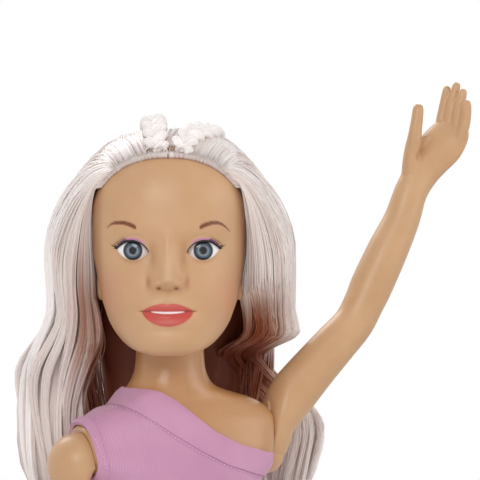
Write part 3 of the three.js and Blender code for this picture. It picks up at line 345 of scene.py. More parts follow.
# Cutters: a round and a block at each hip, and a block that leaves each shoulder's flat face
rounds = bmesh.new()
blocks = bmesh.new()
for side in (1, -1):
    beside = side * (KEEL_HALF + 50)
    lying = Matrix.Translation((beside, 0, HIP_Z)) @ Matrix.Rotation(math.pi / 2, 4, "Y")
    bmesh.ops.create_cone(rounds, cap_ends=True, segments=64, radius1=HIP_RECESS_R, radius2=HIP_RECESS_R,
                          depth=100, matrix=lying)
    below = Matrix.Translation((beside, 0, HIP_Z - 49.6))
    bmesh.ops.create_cube(blocks, size=1, matrix=below @ Matrix.Diagonal((100, 200, 100, 1)))
    face = Matrix.Translation((side * PIVOT.x, PIVOT.y, PIVOT.z)) @ Matrix.Rotation(side * LEAN, 4, "Y")
    face = face @ Matrix.Translation((side * 30, 0, 18))
    bmesh.ops.create_cube(blocks, size=1, matrix=face @ Matrix.Diagonal((60, 150, 104, 1)))
body_form = carved(wrapped(96, 150, torso_skin(0)), rounds, blocks)
# The gap between the halves
PARTING = 0.3
for half, sign in (("torso_front", -1), ("torso_back", 1)):
    shell = body_form.copy()
    trimmed(shell, (0, sign * PARTING / 2, 0), (0, -sign, 0), closed=True)
    settle(shell, half + "_vinyl", doll, body_vinyl, "torso", [half])
body_form.free()

# Legs: one blow-moulded vinyl leg with its foot, and its mirror image, turning on the hip axle.
# The thigh ends in a round that fits the body's hip, with a plug over the axle's end.
LEG_FACE = KEEL_HALF + 0.4
HIP_DOME = Vector((45, HIP_RECESS_R - 0.7, HIP_RECESS_R - 0.7))
# Each row: height, middle across, middle in depth, half width, half depth
LEG = np.array([
    (372, 41.5, 0, 21.8, 31.5), (345, 41.5, 0, 21.8, 30.5), (310, 41, 0, 21, 28),
    (270, 40, -1, 19.5, 24.5), (235, 39.5, -2, 17.5, 21), (205, 39, -2, 16, 18.5),
    (185, 39, 0, 15, 17.5), (150, 39, 3, 16.5, 19.5), (120, 39, 4, 15, 18), (85, 39, 3, 11.5, 13.5),
    (60, 39, 2, 10.5, 12.5), (40, 39, 1, 11, 14), (32, 39, -5, 13, 25), (22, 39, -14, 15.5, 36),
    (12, 39, -17, 16, 40), (8.3, 39, -17, 14.5, 38),
])
# The ankles stand behind the hips, under the weight of the head and its hair
FOOT_BACK = 18
LEG[:, 2] += FOOT_BACK * np.clip((372 - LEG[:, 0]) / 312, 0, 1)


def leg_skin(rows, grow):
    """The leg's surface, or one that lies a little off it."""
    def place(share, angle, reach):
        z, x, y, wide, deep = np.moveaxis(station(rows, share), -1, 0)
        out = rounded(angle, 2.1) * reach
        x = x + (wide + grow) * np.cos(angle) * out
        return np.stack([x, y + (deep + grow) * np.sin(angle) * out, z], -1)
    return place


def fused(bm, voxel, passes):
    """Melts overlapping rounds into one smooth moulding."""
    mesh = bpy.data.meshes.new("rounds")
    bm.to_mesh(mesh)
    bm.free()
    thing = bpy.data.objects.new("rounds", mesh)
    scene.collection.objects.link(thing)
    melt = thing.modifiers.new("melt", "REMESH")
    melt.mode = "VOXEL"
    melt.voxel_size = voxel
    soft = thing.modifiers.new("soft", "SMOOTH")
    soft.factor = 0.5
    soft.iterations = passes
    return taken(thing)


leg_form = wrapped(48, 160, leg_skin(LEG, 0))
bmesh.ops.create_uvsphere(leg_form, u_segments=48, v_segments=32, radius=1,
                          matrix=Matrix.Translation((LEG_FACE, 0, HIP_Z)) @ Matrix.Diagonal((*HIP_DOME, 1)))
leg_form = fused(leg_form, 1.6, 4)
trimmed(leg_form, (LEG_FACE, 0, 0), (-1, 0, 0), closed=True)
mirrored = Matrix.Diagonal((-1, 1, 1, 1))
for side, seat in (("left", doll), ("right", doll @ mirrored)):
    settle(leg_form.copy(), side + "_leg_vinyl", seat, tan_vinyl, side + "_leg",
           [side + "_leg", side + "_hip_cap"])
leg_form.free()

# Shoes: soft pearl vinyl uppers over a rubber sole, with a strap round the ankle and a round button.
# Slush-moulded vinyl is smooth and glossy, slightly pink and pearly.
pearl_vinyl, tree, shader = surface("slush_moulded_pearl_vinyl")
spot = add(tree, "ShaderNodeTexCoord").outputs["Object"]
# Pearl clouds about 12 mm wide
clouds = add(tree, "ShaderNodeTexNoise", {"Scale": 80, "Detail": 2}, {"Vector": spot})
pearl = add(tree, "ShaderNodeValToRGB", {"stops": ((0, "#EADFE6"), (1, "#F4EDF1"))},
            {"Fac": clouds.outputs["Fac"]})
wire(shader, {"Roughness": 0.3, "Coat Weight": 0.3}, {"Base Color": pearl.outputs["Color"]})
# Moulded rubber: off-white and dull, with a grain about 0.9 mm wide.
sole_rubber, tree, shader = surface("moulded_sole_rubber")
spot = add(tree, "ShaderNodeTexCoord").outputs["Object"]
grain = add(tree, "ShaderNodeTexNoise", {"Scale": 1100, "Detail": 2}, {"Vector": spot})
grainy = add(tree, "ShaderNodeBump", {"Strength": 0.2, "Distance": 0.0003},
             {"Height": grain.outputs["Fac"]})
dusty = add(tree, "ShaderNodeValToRGB", {"stops": ((0, "#DCD3D6"), (1, "#EAE3E6"))},
            {"Fac": grain.outputs["Fac"]})
wire(shader, {"Roughness": 0.65},
     {"Base Color": dusty.outputs["Color"], "Normal": grainy.outputs["Normal"]})

SOLE_H = 8
# The middle of the sole and half its width and length
SOLE = Vector((39, FOOT_BACK - 17, 0))
SOLE_HALF = (19.2, 42.7)
# The slant of the shoe's mouth, and the ankle strap's height and half breadth
MOUTH_SLANT = -0.25
STRAP_Z, STRAP_HALF = 41.5, 3.4
upper_form = wrapped(72, 90, leg_skin(LEG[10:], 2.7))
trimmed(upper_form, (0, FOOT_BACK, 34), (0, math.sin(MOUTH_SLANT), math.cos(MOUTH_SLANT)))
trimmed(upper_form, (0, 0, SOLE_H + 0.4), (0, 0, -1))
bmesh.ops.recalc_face_normals(upper_form, faces=upper_form.faces)
bmesh.ops.solidify(upper_form, geom=upper_form.faces[:], thickness=2)

sole_form = bmesh.new()
bmesh.ops.create_circle(sole_form, cap_ends=True, segments=96, radius=1)
for vert in sole_form.verts:
    angle = math.atan2(vert.co.y, vert.co.x)
    out = float(rounded(angle, 2.3))
    vert.co = SOLE + out * Vector((SOLE_HALF[0] * math.cos(angle), SOLE_HALF[1] * math.sin(angle), 0))
bmesh.ops.recalc_face_normals(sole_form, faces=sole_form.faces)
lifted = bmesh.ops.extrude_face_region(sole_form, geom=sole_form.faces[:])
top = [v for v in lifted["geom"] if isinstance(v, bmesh.types.BMVert)]
bmesh.ops.translate(sole_form, vec=(0, 0, SOLE_H), verts=top)
bmesh.ops.recalc_face_normals(sole_form, faces=sole_form.faces)
edges = [e for e in sole_form.edges if abs(e.verts[0].co.z - e.verts[1].co.z) < 0.1]
bmesh.ops.bevel(sole_form, geom=edges, offset=1.4, affect="EDGES", segments=3, profile=0.5, material=-1)

strap_form = bmesh.new()
bmesh.ops.create_grid(strap_form, x_segments=72, y_segments=5, size=1)
ankle = LEG[9:13]
for vert in strap_form.verts:
    angle = math.pi * vert.co.x
    z = STRAP_Z + STRAP_HALF * vert.co.y
    share = np.interp(-z, -station(ankle, np.linspace(0, 1, 60))[:, 0], np.linspace(0, 1, 60))
    vert.co = leg_skin(ankle, 1.1)(np.array([share]), np.array([angle]), np.array([1.0]))[0]
bmesh.ops.remove_doubles(strap_form, verts=strap_form.verts, dist=0.01)
bmesh.ops.recalc_face_normals(strap_form, faces=strap_form.faces)
bmesh.ops.solidify(strap_form, geom=strap_form.faces[:], thickness=-1.4)
button = Matrix.Translation((52.6, FOOT_BACK - 2, STRAP_Z)) @ Matrix.Diagonal((0.5, 1, 1, 1))
bmesh.ops.create_uvsphere(strap_form, u_segments=24, v_segments=12, radius=3.2, matrix=button)
for side, seat in (("left", doll), ("right", doll @ mirrored)):
    for form, name, material, slot, node in (
        (upper_form, "_shoe_upper", pearl_vinyl, "shoe_vinyl", "_shoe"),
        (sole_form, "_shoe_sole", sole_rubber, "sole_rubber", "_sole"),
        (strap_form, "_ankle_strap", pearl_vinyl, "shoe_vinyl", "_shoe_strap"),
    ):
        settle(form.copy(), side + name, seat, material, side + "_leg", [side + node])
for form in (upper_form, sole_form, strap_form):
    form.free()

# Arms: one rotocast vinyl arm and its mirror image, each turning on a plug in the shoulder.
# The left one is raised, so that a child can lead the doll by its hand.
# Each row: out and up from the pivot, half breadth and half thickness, turn in degrees
ARM = np.array([
    (5, 1, 16.5, 16.5, 0), (7, 13, 19, 19, 0), (11, 27, 20, 19.5, 0), (28, 45, 19.5, 19, 0),
    (45, 63, 18.5, 18, 0), (66, 84, 17.3, 17, 0), (83, 101, 16.3, 16, 0), (93, 118, 16.4, 16, 0),
    (100, 132, 17.2, 16.6, 0), (114, 159, 16.6, 16, 0), (127, 184, 14.8, 14, 0),
    (135.3, 206, 13.8, 12, 2), (144.5, 221.5, 14.4, 10.5, 12), (153.4, 234, 16.8, 9.8, 28),
    (164, 245, 18.5, 9, 42), (172, 255.4, 17, 8, 50), (175.4, 261.6, 13.5, 6, 52),
])
# Fingers, thumb and the web of the thumb. Each row: out, deep, up and half thickness
FINGERS = [
    np.array([(164.6, 7, 251, 4), (166.4, 8, 258, 4.2), (168.4, 8.4, 267, 4.2), (170.6, 8, 278, 3.9),
              (172.8, 7, 290.5, 3.4), (173.4, 6.6, 294, 1.8)]),
    np.array([(168, 1, 250, 4), (170.4, 1, 258, 4.3), (172, 1, 268, 4.3), (174.2, 0.4, 280, 4.1),
              (177.2, -0.8, 293, 3.5), (178, -1.2, 296.6, 1.9)]),
    np.array([(171, -5, 248, 4), (173.4, -6, 256, 4.3), (174.8, -6.8, 265, 4.3), (176.4, -7.8, 276, 4.1),
              (178.6, -9, 287.4, 3.6), (179.2, -9.4, 291, 1.9)]),
    np.array([(170, -5, 238, 4), (174, -10, 248, 4.4), (176.8, -12.6, 257, 4.6), (178.6, -14, 267, 4.4),
              (178.9, -15, 277.4, 3.9), (178.8, -15.4, 281.6, 2)]),
    np.array([(130.5, 0, 192, 5), (133.2, 0, 206, 6.8), (134.6, -0.6, 219, 7.3), (135.2, -1.5, 231, 7.3),
              (135.8, -3, 242, 6.7), (136.2, -5, 250, 5.9), (136.8, -6, 258, 5.2),
              (138, -6.4, 267, 4.8), (139, -6.2, 274.6, 4.3), (139.4, -6, 278, 2.5)]),
    np.array([(137, -1.5, 238, 4.4), (141, -1, 243.4, 4.6), (146, 0.6, 246.6, 4.6), (152, 3, 249, 4.8),
              (158, 5, 252, 4.6)]),
]
# The crease of the palm below the thumb: out and up
PALM_CREASE = (Vector((150, 0, 249.5)), Vector((139, 0, 235)))


def limb_skin(path, sizes):
    """Rings across a path, each turned about it."""
    def place(share, angle, reach):
        spot, ahead, behind = path(share), path(share + 0.004), path(share - 0.004)
        along = ahead - behind
        along /= np.linalg.norm(along, axis=1, keepdims=True)
        deep = np.tile([0.0, 1.0, 0.0], (len(along), 1))
        broad = np.cross(deep, along)
        broad /= np.linalg.norm(broad, axis=1, keepdims=True)
        deep = np.cross(along, broad)
        wide, thick, turn = sizes(share)
        cos, sin = np.cos(np.radians(turn))[:, None], np.sin(np.radians(turn))[:, None]
        broad, deep = broad * cos - deep * sin, deep * cos + broad * sin
        return (spot + broad * (np.cos(angle) * wide * reach)[:, None]
                + deep * (np.sin(angle) * thick * reach)[:, None])
    return place


def arm_path(share):
    """The middle of the arm, from the shoulder to the knuckles."""
    row = station(ARM, share)
    return np.stack([row[:, 0], np.zeros(len(row)), row[:, 1]], -1)


raised = doll @ Matrix.Translation(PIVOT)
hanging = doll @ mirrored @ Matrix.Translation(PIVOT) @ Matrix.Rotation(math.pi, 4, PIVOT_AXIS)
# How far in the root is rounded off, and its gap to the shoulder
ROOT_ROUND, ROOT_GAP = 11, 0.4
for name, seat, heel, drop in (("left_arm", raised, 16, 0), ("right_arm", hanging, 25, 4)):
    arm_form = wrapped(40, 150,
                       limb_skin(arm_path, lambda share: np.moveaxis(station(ARM, share)[:, 2:], -1, 0)))
    bmesh.ops.create_uvsphere(arm_form, u_segments=40, v_segments=24, radius=heel,
                              matrix=Matrix.Translation(4 * PIVOT_AXIS + Vector((0, 0, drop))))
    for finger in FINGERS:
        tube = wrapped(16, 28, limb_skin(lambda share: station(finger, share)[:, :3],
                                         lambda share: (*(station(finger, share)[:, 3],) * 2, 0 * share)))
        scratch = bpy.data.meshes.new("finger")
        tube.to_mesh(scratch)
        tube.free()
        arm_form.from_mesh(scratch)
        bpy.data.meshes.remove(scratch)
    bmesh.ops.recalc_face_normals(arm_form, faces=arm_form.faces)
    arm_form = fused(arm_form, 0.95, 2)
    # The edge of the arm's root is rounded off on the side where the limb leaves it
    for vert in arm_form.verts:
        near = min(max(1 - (vert.co.dot(PIVOT_AXIS) - ROOT_GAP) / ROOT_ROUND, 0), 1)
        upper = min(max((vert.co.z - 6) / 16, 0), 1)
        pinch = (1 - math.sqrt(1 - near * near)) * upper
        vert.co.y *= 1 - 0.5 * pinch
        vert.co.z -= 11 * pinch
        if vert.co.y < 0:
            # The crease of the palm is pressed in
            along = PALM_CREASE[1] - PALM_CREASE[0]
            off = Vector((vert.co.x, 0, vert.co.z)) - PALM_CREASE[0]
            part = min(max(off.dot(along) / along.length_squared, 0), 1)
            vert.co.y += 2.8 * math.exp(-(((off - part * along).length) / 3.2) ** 2)
    trimmed(arm_form, ROOT_GAP * PIVOT_AXIS, -PIVOT_AXIS, closed=True)
    settle(arm_form, name + "_vinyl", seat, tan_vinyl, name, [name])

# Head: soft rotocast vinyl with a sculpted face, snapped over the knob on the neck.
# Brows, lids, lips and blush are sprayed and printed on in thin paint, and painted shade and painted highlight lie
# around the eyes, the nose and the sides of the face.
head = doll @ Matrix.Rotation(HEAD_TURN, 4, "Z")
EYE_X, EYE_Z = 26.9, 700
EYE_TILT = math.radians(6)
# Half the length of the opening between the lids
LIDS_HALF = 12.45
MOUTH_Z = 654
HEAD_POWER = 2.3
# Each row: height, half width, front, back
HEAD = np.array([
    (789, 8, -9, 13), (787, 24, -25, 31), (782, 38, -40, 46), (772, 50, -53, 58), (757, 58, -63, 67),
    (740, 62, -68.5, 71), (720, 62, -70, 73), (706, 61, -69, 73), (695, 59.8, -69, 72),
    (687, 58, -69.7, 71), (679, 56.2, -70.6, 69), (672, 54.5, -71, 67), (662, 52.5, -71, 63),
    (653, 49.5, -70.7, 57), (644, 46, -70.2, 49), (635, 40, -69, 30), (628, 33, -67.5, 8),
    (623, 24, -65, -18), (620, 12, -60, -44),
])
rows = station(HEAD, np.linspace(0, 1, 600))[::-1]


def level(z):
    """Half width, front and back of the bare head at a height."""
    return [np.interp(z, rows[:, 0], rows[:, k]) for k in (1, 2, 3)]


def bell(value, width):
    """1 at the middle, and close to 0 past twice the width."""
    return np.exp(-(value / width) ** 2)


def in_eye(x, z):
    """A place on the face along and across the slanting eye, counted from the iris."""
    out, up = np.abs(x) - EYE_X, z - EYE_Z
    along = out * math.cos(EYE_TILT) + up * math.sin(EYE_TILT)
    return along, up * math.cos(EYE_TILT) - out * math.sin(EYE_TILT)


def from_eye(side, along, up, tilt):
    """The place on the face, across and up, of a point along and across a slanting eye."""
    out = along * math.cos(tilt) - up * math.sin(tilt)
    return side * (EYE_X + out), EYE_Z + (along * math.sin(tilt) + up * math.cos(tilt))


def lid(along):
    """How far the lids open from the eye's own middle line."""
    return np.sqrt(np.maximum(208.8 - along ** 2, 0)) - 7.25


def relief(x, z):
    """How far the features stand out of the bare head."""
    along, up = in_eye(x, z)
    wide = np.abs(x)
    rise = np.clip((719 - z) / 40, 0, 1) ** 1.3
    drop = np.cos(np.clip((679 - z) / 9.5, 0, 1) * math.pi / 2)
    nose = np.where(z > 679, 11 * rise * bell(x, 4.2 + 2.4 * rise), 11 * drop * bell(x, 6.6))
    nose += 2.4 * bell(x, 6) * bell(z - 678, 5.5) + 5.4 * bell(wide - 9.2, 3.6) * bell(z - 674.8, 4.4)
    nose -= 1.6 * bell(wide - 6.4, 1.7) * bell(z - 671.4, 1.4) + 0.8 * bell(wide - 16, 3) * bell(z - 677, 7)
    line = MOUTH_Z - 0.9 * np.clip(1 - (x / 14) ** 2, 0, 1)
    lips = 2.4 * bell(x, 15) * bell(z - 657.6, 3.6) + 3.3 * bell(x, 13.5) * bell(z - 648, 4.8)
    lips -= 1.3 * bell(z - line, 1.1) * np.clip((22 - wide) / 4, 0, 1)
    lips -= 0.7 * bell(wide - 21.5, 3) * bell(z - MOUTH_Z, 3) + 0.5 * bell(x, 2.2) * bell(z - 664.5, 3.2)
    chin = 2.4 * bell(x, 15) * bell(z - 631, 9) - 0.8 * bell(x, 14) * bell(z - 639.5, 3)
    cheek = 1.7 * bell(wide - 34, 15) * bell(z - 667, 14) + 0.9 * bell(wide - 30, 18) * bell(z - 717, 8)
    socket = 2.8 * bell(wide - EYE_X, 15) * bell(z - EYE_Z - 1, 10.5)
    socket += 1.9 * bell(wide - 13, 4.5) * bell(z - 699, 8)
    dome = 1.9 * bell(along, 13.5) * bell(up, 8.5)
    crease = 0.6 * bell(up - lid(along) - 4.2, 1.2) * bell(along, 11)
    return nose + lips + chin + cheek - socket + dome - crease


def face_y(x, z):
    """How far back the face lies, with its features."""
    wide, front, back = level(z)
    share = np.maximum(1 - (np.abs(x) / wide) ** HEAD_POWER, 0) ** (1 / HEAD_POWER)
    return (front + back) / 2 - (back - front) / 2 * share - relief(x, z)


def head_skin(share, angle, reach):
    """The head's surface, with its points drawn together on the face."""
    turn = np.mod(angle + 1.5 * math.pi, 2 * math.pi) - math.pi
    angle = turn - 0.78 * np.sin(turn) - math.pi / 2
    z, wide, front, back = np.moveaxis(station(HEAD, share), -1, 0)
    out = rounded(angle, HEAD_POWER) * reach
    x = wide * np.cos(angle) * out
    y = (front + back) / 2 + (back - front) / 2 * np.sin(angle) * out
    return np.stack([x, y - np.where(y < 0, relief(x, z), 0) * reach, z], -1)


def coat(colour, cover, code):
    """Lays one more thin coat of paint over the coats under it."""
    red, green, blue, under = colour
    cover = np.clip(cover, 0, 1)
    whole = cover + under * (1 - cover)
    part = np.where(whole > 0, cover / np.maximum(whole, 1e-6), 0)
    top = linear(code)
    return [old + (new - old) * part for old, new in zip((red, green, blue), top)] + [whole]


def soft(value, edge):
    """1 inside an edge and 0 outside it, with a fade between."""
    return np.clip(0.5 - value / edge, 0, 1)


def face_paint_and_shade(x, z):
    """All coats of paint on the face, with its painted shade and painted highlight, as colour and cover."""
    along, up = in_eye(x, z)
    wide = np.abs(x)
    paint = [np.zeros_like(x)] * 4
    paint = coat(paint, 0.22 * bell(wide - 47, 12) * bell(z - 666, 16), "#D2694C")
    # Painted shade: a soft brown band under the lower lid
    paint = coat(paint, 0.3 * bell(up + lid(along) + 1.2, 1.6) * bell(along, 11), "#8A5030")
    # Painted shade: the sides are darker towards the hair, where it shades them
    paint = coat(paint, 0.62 * np.clip((wide - 50) / 9, 0, 1) * np.clip((754 - z) / 9, 0, 1)
                 * np.clip((z - 640) / 20, 0, 1), "#8F4A20")
    # Painted shade beside the bridge of the nose and the inner corners of the eyes, and beside the wings of the
    # nose; a painted highlight down the ridge of the nose; a painted shadow under the nose
    paint = coat(paint, 0.42 * bell(wide - 12, 4) * bell(z - 694, 11), "#9C6538")
    paint = coat(paint, 0.6 * bell(wide - 14.6, 1.9) * bell(z - 676, 5), "#985C32")
    paint = coat(paint, 0.34 * bell(x, 4.6) * bell(z - 684, 13), "#E4C39E")
    paint = coat(paint, 0.34 * bell(x, 8) * bell(z - 668.6, 2), "#A06B40")
    paint = coat(paint, 0.85 * bell(np.hypot((wide - 6.5) / 1.5, z - 671.3), 1.15), "#6A2A16")
    # Lips: a soft bow above, a full curve below, a thin white line of teeth between
    span = np.clip(1 - (x / 19.5) ** 2, 0, 1)
    top = MOUTH_Z + 6.3 * span ** 0.85 - 0.9 * bell(x, 2.8)
    low = MOUTH_Z - 11.6 * span ** 0.62
    lips = soft(z - top, 0.9) * soft(low - z, 0.9) * (wide < 20)
    paint = coat(paint, lips, "#CA5850")
    middle = MOUTH_Z - 0.9 * np.clip(1 - (x / 14) ** 2, 0, 1)
    paint = coat(paint, lips * 0.55 * bell(z - middle + 3, 3) * (z < middle), "#C23B2C")
    paint = coat(paint, 0.45 * lips * bell(x, 9) * bell(z - middle + 7.2, 1.8), "#E58F80")
    paint = coat(paint, 0.8 * bell(z - middle, 0.55) * soft(wide - 21.5, 2), "#7E3420")
    tooth = 0.8 * np.sqrt(np.clip(1 - (x / 12.6) ** 2, 0, 1))
    paint = coat(paint, soft(np.abs(z - middle + 0.1) - tooth, 0.5) * (wide < 12.6), "#FBF4F2")
    # Brows: one tapered stroke that rises and falls again
    arch = np.interp(wide, (24, 28, 33, 37, 41, 44, 47), (717.3, 719.3, 720.9, 721.3, 720, 717.8, 714.2))
    thick = np.interp(wide, (24, 26, 36, 43, 47), (1.3, 1.75, 1.5, 1, 0.4))
    arch = arch + np.where(x < 0, 0.33 * np.clip(wide - 38, 0, 9), 0)
    brow = soft(np.abs(z - arch) - thick, 0.7) * soft(24 - wide, 0.8) * soft(wide - 47, 0.8)
    paint = coat(paint, brow, "#784427")
    # Lids: a soft violet tint over the lash line, with a black wing at the outer corner
    gap = up - lid(along)
    paint = coat(paint, 0.5 * bell(gap - 1.7, 0.9) * soft(np.abs(along - 1.5) - 10.5, 1.5), "#C690B4")
    wing = soft(np.abs(up - 0.5 - 0.32 * (along - 11)) - (17.5 - along) * 0.17, 0.5)
    paint = coat(paint, 0.95 * wing * (along > 10.6) * (along < 17.5), "#1D1820")
    return np.stack(paint, -1)


painted_vinyl = vinyl("rotocast_painted_vinyl", "#C99E75", "#D1A77E", 0.03, True)
face_form = wrapped(290, 330, head_skin)
drop = []
for face in face_form.faces:
    centre = face.calc_center_median()
    if centre.y < -30:
        along, up = in_eye(centre.x, centre.z)
        if abs(along) < LIDS_HALF and abs(up) < lid(along):
            drop.append(face)
bmesh.ops.delete(face_form, geom=drop, context="FACES")
rim = [e for e in face_form.edges if e.is_boundary]
for vert in {v for e in rim for v in e.verts}:
    along, up = in_eye(vert.co.x, vert.co.z)
    along = max(-LIDS_HALF, min(LIDS_HALF, along))
    up = math.copysign(float(lid(along)), up)
    x, z = from_eye(math.copysign(1, vert.co.x), along, up, EYE_TILT)
    vert.co = (x, float(face_y(x, z)), z)
inner = bmesh.ops.extrude_edge_only(face_form, edges=rim)
deep = [v for v in inner["geom"] if isinstance(v, bmesh.types.BMVert)]
bmesh.ops.translate(face_form, vec=(0, 5.5, 0), verts=deep)
layer = face_form.verts.layers.float_color.new("paint")
at = np.array([v.co for v in face_form.verts])
tints = face_paint_and_shade(at[:, 0], at[:, 2])
tints[:, 3] *= np.clip((12 - at[:, 1]) / 16, 0, 1)
for vert, tint in zip(face_form.verts, tints):
    vert[layer] = tint
settle(face_form, "head_vinyl", head, painted_vinyl, "head", ["head_shell"])

# Ears: part of the head's vinyl moulding, mostly under the hair.
# Each has an outer rim, a bowl and a soft lobe.
ear_form = bmesh.new()
bmesh.ops.create_uvsphere(ear_form, u_segments=48, v_segments=40, radius=1)
for vert in ear_form.verts:
    x, y, z = vert.co
    bowl = 1.1 * math.exp(-((y + 0.15) / 0.42) ** 2 - ((z - 0.05) / 0.5) ** 2)
    hollow = bowl if x > 0 else 0
    lobe = 1 - 0.25 * (z < 0) * -z
    vert.co = (54 + 5 * x * (1 - hollow), 8 + 10 * y * lobe, 678 + 17 * z)
for name, seat in (("left_ear", head), ("right_ear", head @ mirrored)):
    settle(ear_form.copy(), name, seat, tan_vinyl, "head")
ear_form.free()

# Eyes: inset acrylic ovals behind the lids, printed with a grey-blue iris under a clear dome.
# Acrylic is clear and very glossy, so the studio lamps show in it as small lights.
clear_acrylic, tree, shader = surface("printed_clear_acrylic")
print_and_shade = add(tree, "ShaderNodeAttribute", {"attribute_name": "paint"})
wire(shader, {"Roughness": 0.12, "Specular IOR Level": 0.1, "Coat Weight": 0.8, "Coat Roughness": 0.03},
     {"Base Color": print_and_shade.outputs["Color"]})
IRIS_R, PUPIL_R = 7.4, 2.9
EYE_HALF_X, EYE_HALF_Z = 14.2, 10.2
EYE_CURVE = 34
EYE_COLOURS = ("#F4F1F0", "#4D6477", "#1B2230", "#08080B")
ball, blue, ring, pupil = (np.array(linear(code)[:3]) for code in EYE_COLOURS)
for name, side in (("left_eye", 1), ("right_eye", -1)):
    eye_form = bmesh.new()
    bmesh.ops.create_uvsphere(eye_form, u_segments=110, v_segments=90, radius=1)
    layer = eye_form.verts.layers.float_color.new("paint")
    for vert in eye_form.verts:
        a, front, b = vert.co.x, vert.co.z, vert.co.y
        x, z = side * EYE_X + EYE_HALF_X * a, EYE_Z + EYE_HALF_Z * b
        far = math.hypot(x - side * (EYE_X - 0.2), z - EYE_Z)
        angle = math.atan2(z - EYE_Z, x - side * EYE_X)
        streak = 0.5 + 0.25 * math.sin(23 * angle + side) + 0.25 * math.sin(41 * angle + 1.3 * side)
        fleck = math.exp(-((far - 3.7) / 0.9) ** 2) * (0.35 + 0.65 * streak)
        # The white is painted darker towards the lids, as painted shade
        tone = ball * (1 - 0.28 * math.exp(-(8.2 - abs(EYE_HALF_Z * b)) / 1.6))
        iris = blue * (0.5 + 0.45 * streak) + 0.24 * fleck
        # The iris is painted darker towards its top, as the upper lid's painted shadow
        iris *= 1 - 0.6 * min(max((z - EYE_Z - 1) / 5, 0), 1)
        edge = min(max((far - 4.9) / 1.6, 0), 1)
        iris = iris * (1 - edge) + ring * edge
        hole = min(max((PUPIL_R + 0.3 - far) / 0.6, 0), 1)
        iris = iris * (1 - hole) + pupil * hole
        inside = min(max((IRIS_R + 0.25 - far) / 0.5, 0), 1)
        tone = tone * (1 - inside) + iris * inside
        vert[layer] = (*tone, 1)
        dome = ((x - side * EYE_X) ** 2 + (z - EYE_Z) ** 2) / EYE_CURVE
        y = float(face_y(side * EYE_X, EYE_Z)) + 0.5 + dome
        y = max(y + 0.16 * (abs(x) - EYE_X), float(face_y(x, z)) + 0.9)
        vert.co = (x, y if front > 0 else y - 6 * front, z)
    bmesh.ops.recalc_face_normals(eye_form, faces=eye_form.faces)
    settle(eye_form, name + "_acrylic", head, clear_acrylic, "head", [name])

# Lashes: a few short black bristles set along the outer third of each upper lid.
# Nylon bristle: black, smooth and slightly shiny.
black_bristle, tree, shader = surface("black_nylon_bristle")
tone = add(tree, "ShaderNodeAttribute", {"attribute_name": "tone"}).outputs["Fac"]
ink = add(tree, "ShaderNodeValToRGB", {"stops": ((0, "#100D12"), (1, "#3A2A38"))}, {"Fac": tone})
wire(shader, {"Roughness": 0.35}, {"Base Color": ink.outputs["Color"]})


def fibres(name, paths, widths, tones, seat, material, body=None, nodes=(), facets=0):
    """Draws each path as one thin tapered fibre, with a tone along it."""
    curve = bpy.data.curves.new(name, "CURVE")
    curve.dimensions = "3D"
    curve.bevel_depth = 1
    curve.bevel_resolution = facets
    for run, width in zip(paths, widths):
        spline = curve.splines.new("POLY")
        spline.points.add(len(run) - 1)
        spline.points.foreach_set("co", np.c_[run, np.ones(len(run))].ravel())
        spline.points.foreach_set("radius", width)
    drawn = bpy.data.objects.new(name + "_drawn", curve)
    scene.collection.objects.link(drawn)
    mesh = bpy.data.meshes.new_from_object(drawn.evaluated_get(bpy.context.evaluated_depsgraph_get()))
    bpy.data.objects.remove(drawn)
    mesh.materials.clear()
    mesh.transform(seat)
    along = np.concatenate(tones)
    held = mesh.attributes.new("tone", "FLOAT", "POINT")
    held.data.foreach_set("value", np.repeat(along, len(mesh.vertices) // len(along)).astype(np.float32))
    return piece_of(mesh, name, material, body, nodes)


# The slant of the lashes and of the lines along the lids, in radians
LASH_TILT = 0.105
bristles = []
for side in (1, -1):
    for a in np.linspace(5, 13, 8):
        root_up = float(lid(min(a, 12.4))) + 0.3
        length = 3.4 + 0.16 * (a - 5)
        steps = np.linspace(0, 1, 6)
        along = a + length * steps * 0.85
        up = root_up + length * (0.75 - 0.03 * (a - 5)) * steps ** 0.8
        x, z = from_eye(side, along, up, LASH_TILT)
        bristles.append(np.stack([x, face_y(x, z) - 0.2 - 2.6 * steps, z], -1))
taper = np.array([0.34, 0.34, 0.3, 0.25, 0.17, 0.03])
fibres("upper_lashes", bristles, [taper] * len(bristles), [np.linspace(0, 0.8, 6)] * len(bristles), head,
       black_bristle, "head")
# A black strip holds them along the lid's edge, and a violet line is painted above it
violet_paint, tree, shader = surface("violet_lid_paint")
tone = add(tree, "ShaderNodeAttribute", {"attribute_name": "tone"}).outputs["Fac"]
mauve = add(tree, "ShaderNodeValToRGB", {"stops": ((0, "#D093A8"), (1, "#CE7FBB"))}, {"Fac": tone})
wire(shader, {"Roughness": 0.5}, {"Base Color": mauve.outputs["Color"]})
even = np.linspace(0, 1, 40)


def lid_line(side, first, last, above, sink):
    """A line along the upper lid, at a height above its edge."""
    along = np.linspace(first, last, len(even))
    up = np.where(along < 12, lid(along), 0.05) + above
    x, z = from_eye(side, along, up, LASH_TILT)
    return np.stack([x, face_y(x, z) + sink, z], -1)


strip = [lid_line(side, -12.6, 14.6, 0.1, -0.1) for side in (1, -1)]
width = np.interp(even, (0, 0.1, 0.5, 0.85, 1), (0.3, 0.5, 0.8, 0.95, 0.1))
fibres("lash_strips", strip, [width] * 2, [0 * even] * 2, head, black_bristle, "head", facets=1)
line = [lid_line(side, -11, 13.6, 1.8, 0.2) for side in (1, -1)]
width = np.interp(even, (0, 0.2, 0.8, 1), (0.05, 0.55, 0.6, 0.05))
tone = np.interp(even, (0, 0.3, 1), (0.3, 1, 0.9))
fibres("lid_paint_lines", line, [width] * 2, [tone] * 2, head, violet_paint, "head", facets=1)

